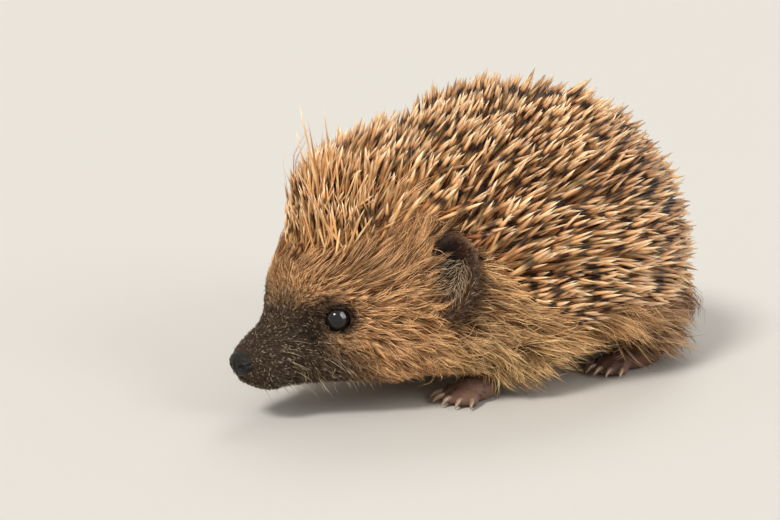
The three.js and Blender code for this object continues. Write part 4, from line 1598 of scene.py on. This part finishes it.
def studio_world(light, backdrop):
    """An even warm white sky: its light on the object, and its colour where it is seen or mirrored."""
    world = bpy.data.worlds.new("studio")
    world.use_nodes = True
    tree = world.node_tree
    rays = add(tree, "LightPath").outputs
    seen = maths(tree, "ADD", rays["Is Camera Ray"], rays["Is Glossy Ray"])
    seen = maths(tree, "ADD", seen, rays["Is Transmission Ray"])
    seen = maths(tree, "MINIMUM", seen, 1.0)
    sky = tree.nodes["Background"]
    sky.inputs["Strength"].default_value = 1
    tree.links.new(mixed(tree, seen, [light * c for c in (1, 0.97, 0.92)], backdrop), sky.inputs["Color"])
    return world


# Azimuth from that of the camera and elevation, both in degrees, power, width in degrees and tint.
SUNS = {
    "key": (-34, 46, 2.1, 15, (1.0, 0.975, 0.94)),
    "fill": (50, 30, 0.6, 26, (1, 1, 1)),
    "rim": (165, 50, 0.6, 26, (1, 1, 1)),
}
PANEL_AT = (75, 30)  # the same two angles
SKY_LIGHT = 0.45
FLOOR_HALF = 6.0  # metres


class HEDGEHOG_OT_stage(bpy.types.Operator):
    """Camera, floor and lamps"""

    bl_idname = "hedgehog.stage"
    bl_label = "Stage"

    def execute(self, context):
        scene, s = context.scene, context.scene.hedgehog_stage
        data = bpy.data.cameras.new("camera")
        data.sensor_width = 36
        data.lens = s.lens
        data.clip_start = 0.01
        way = toward(s.azimuth, s.elevation)
        scene.camera = aimed("camera", data, way, Vector(s.aim) + way * s.distance)

        corners = np.array([[-1, -1, 0], [1, -1, 0], [1, 1, 0], [-1, 1, 0]]) * FLOOR_HALF
        floor = new_object("floor", mesh_of("floor", corners, np.array([[0, 1, 2, 3]])))
        material, tree, shader = new_material("floor", Roughness=0.8, Specular_IOR_Level=0.1)
        place = add(tree, "TexCoord").outputs["Object"]
        base = mixed(tree, noise(tree, place, 1.5), s.floor, [x * 0.97 for x in s.floor])
        tree.links.new(base, shader.inputs["Base Color"])
        floor.data.materials.append(material)

        scene.world = studio_world(SKY_LIGHT, s.backdrop)
        for name, (azimuth, elevation, power, width, tint) in SUNS.items():
            way = toward(s.azimuth + math.radians(azimuth), math.radians(elevation))
            sun(name, way, power, width, tint)
        way = toward(s.azimuth + math.radians(PANEL_AT[0]), math.radians(PANEL_AT[1]))
        softbox("panel", EYE, way, distance=0.5, side=0.53, power=4.5)
        scene.view_settings.view_transform = "Standard"
        return {"FINISHED"}


class HEDGEHOG_PT_panel(bpy.types.Panel):
    """The steps that build the hedgehog"""

    bl_label = "Hedgehog"
    bl_idname = "HEDGEHOG_PT_panel"
    bl_space_type = "VIEW_3D"
    bl_region_type = "UI"
    bl_category = "Hedgehog"

    def draw(self, context):
        for step in STEPS:
            self.layout.operator(step.bl_idname)
        for name in SETTINGS:
            box = self.layout.box()
            for key in getattr(context.scene, name).bl_rna.properties.keys():
                if key not in ("rna_type", "name"):
                    box.prop(getattr(context.scene, name), key)


SETTINGS = {
    "hedgehog_skin": HedgehogSkin,
    "hedgehog_quills": HedgehogQuills,
    "hedgehog_fur": HedgehogFur,
    "hedgehog_colours": HedgehogColours,
    "hedgehog_stage": HedgehogStage,
}
STEPS = (
    HEDGEHOG_OT_skin,
    HEDGEHOG_OT_eyes,
    HEDGEHOG_OT_nose,
    HEDGEHOG_OT_claws,
    HEDGEHOG_OT_quills,
    HEDGEHOG_OT_muzzle_fur,
    HEDGEHOG_OT_face_fur,
    HEDGEHOG_OT_body_fur,
    HEDGEHOG_OT_limb_fur,
    HEDGEHOG_OT_whiskers,
    HEDGEHOG_OT_stage,
)


def register():
    for kind in (*SETTINGS.values(), *STEPS, HEDGEHOG_PT_panel):
        bpy.utils.register_class(kind)
    for name, kind in SETTINGS.items():
        setattr(bpy.types.Scene, name, PointerProperty(type=kind))


def unregister():
    for name in SETTINGS:
        delattr(bpy.types.Scene, name)
    for kind in (HEDGEHOG_PT_panel, *reversed(STEPS), *reversed(SETTINGS.values())):
        bpy.utils.unregister_class(kind)


def main():
    register()
    for step in STEPS:
        group_name, call = step.bl_idname.split(".")
        getattr(getattr(bpy.ops, group_name), call)()


if __name__ == "__main__":
    main()
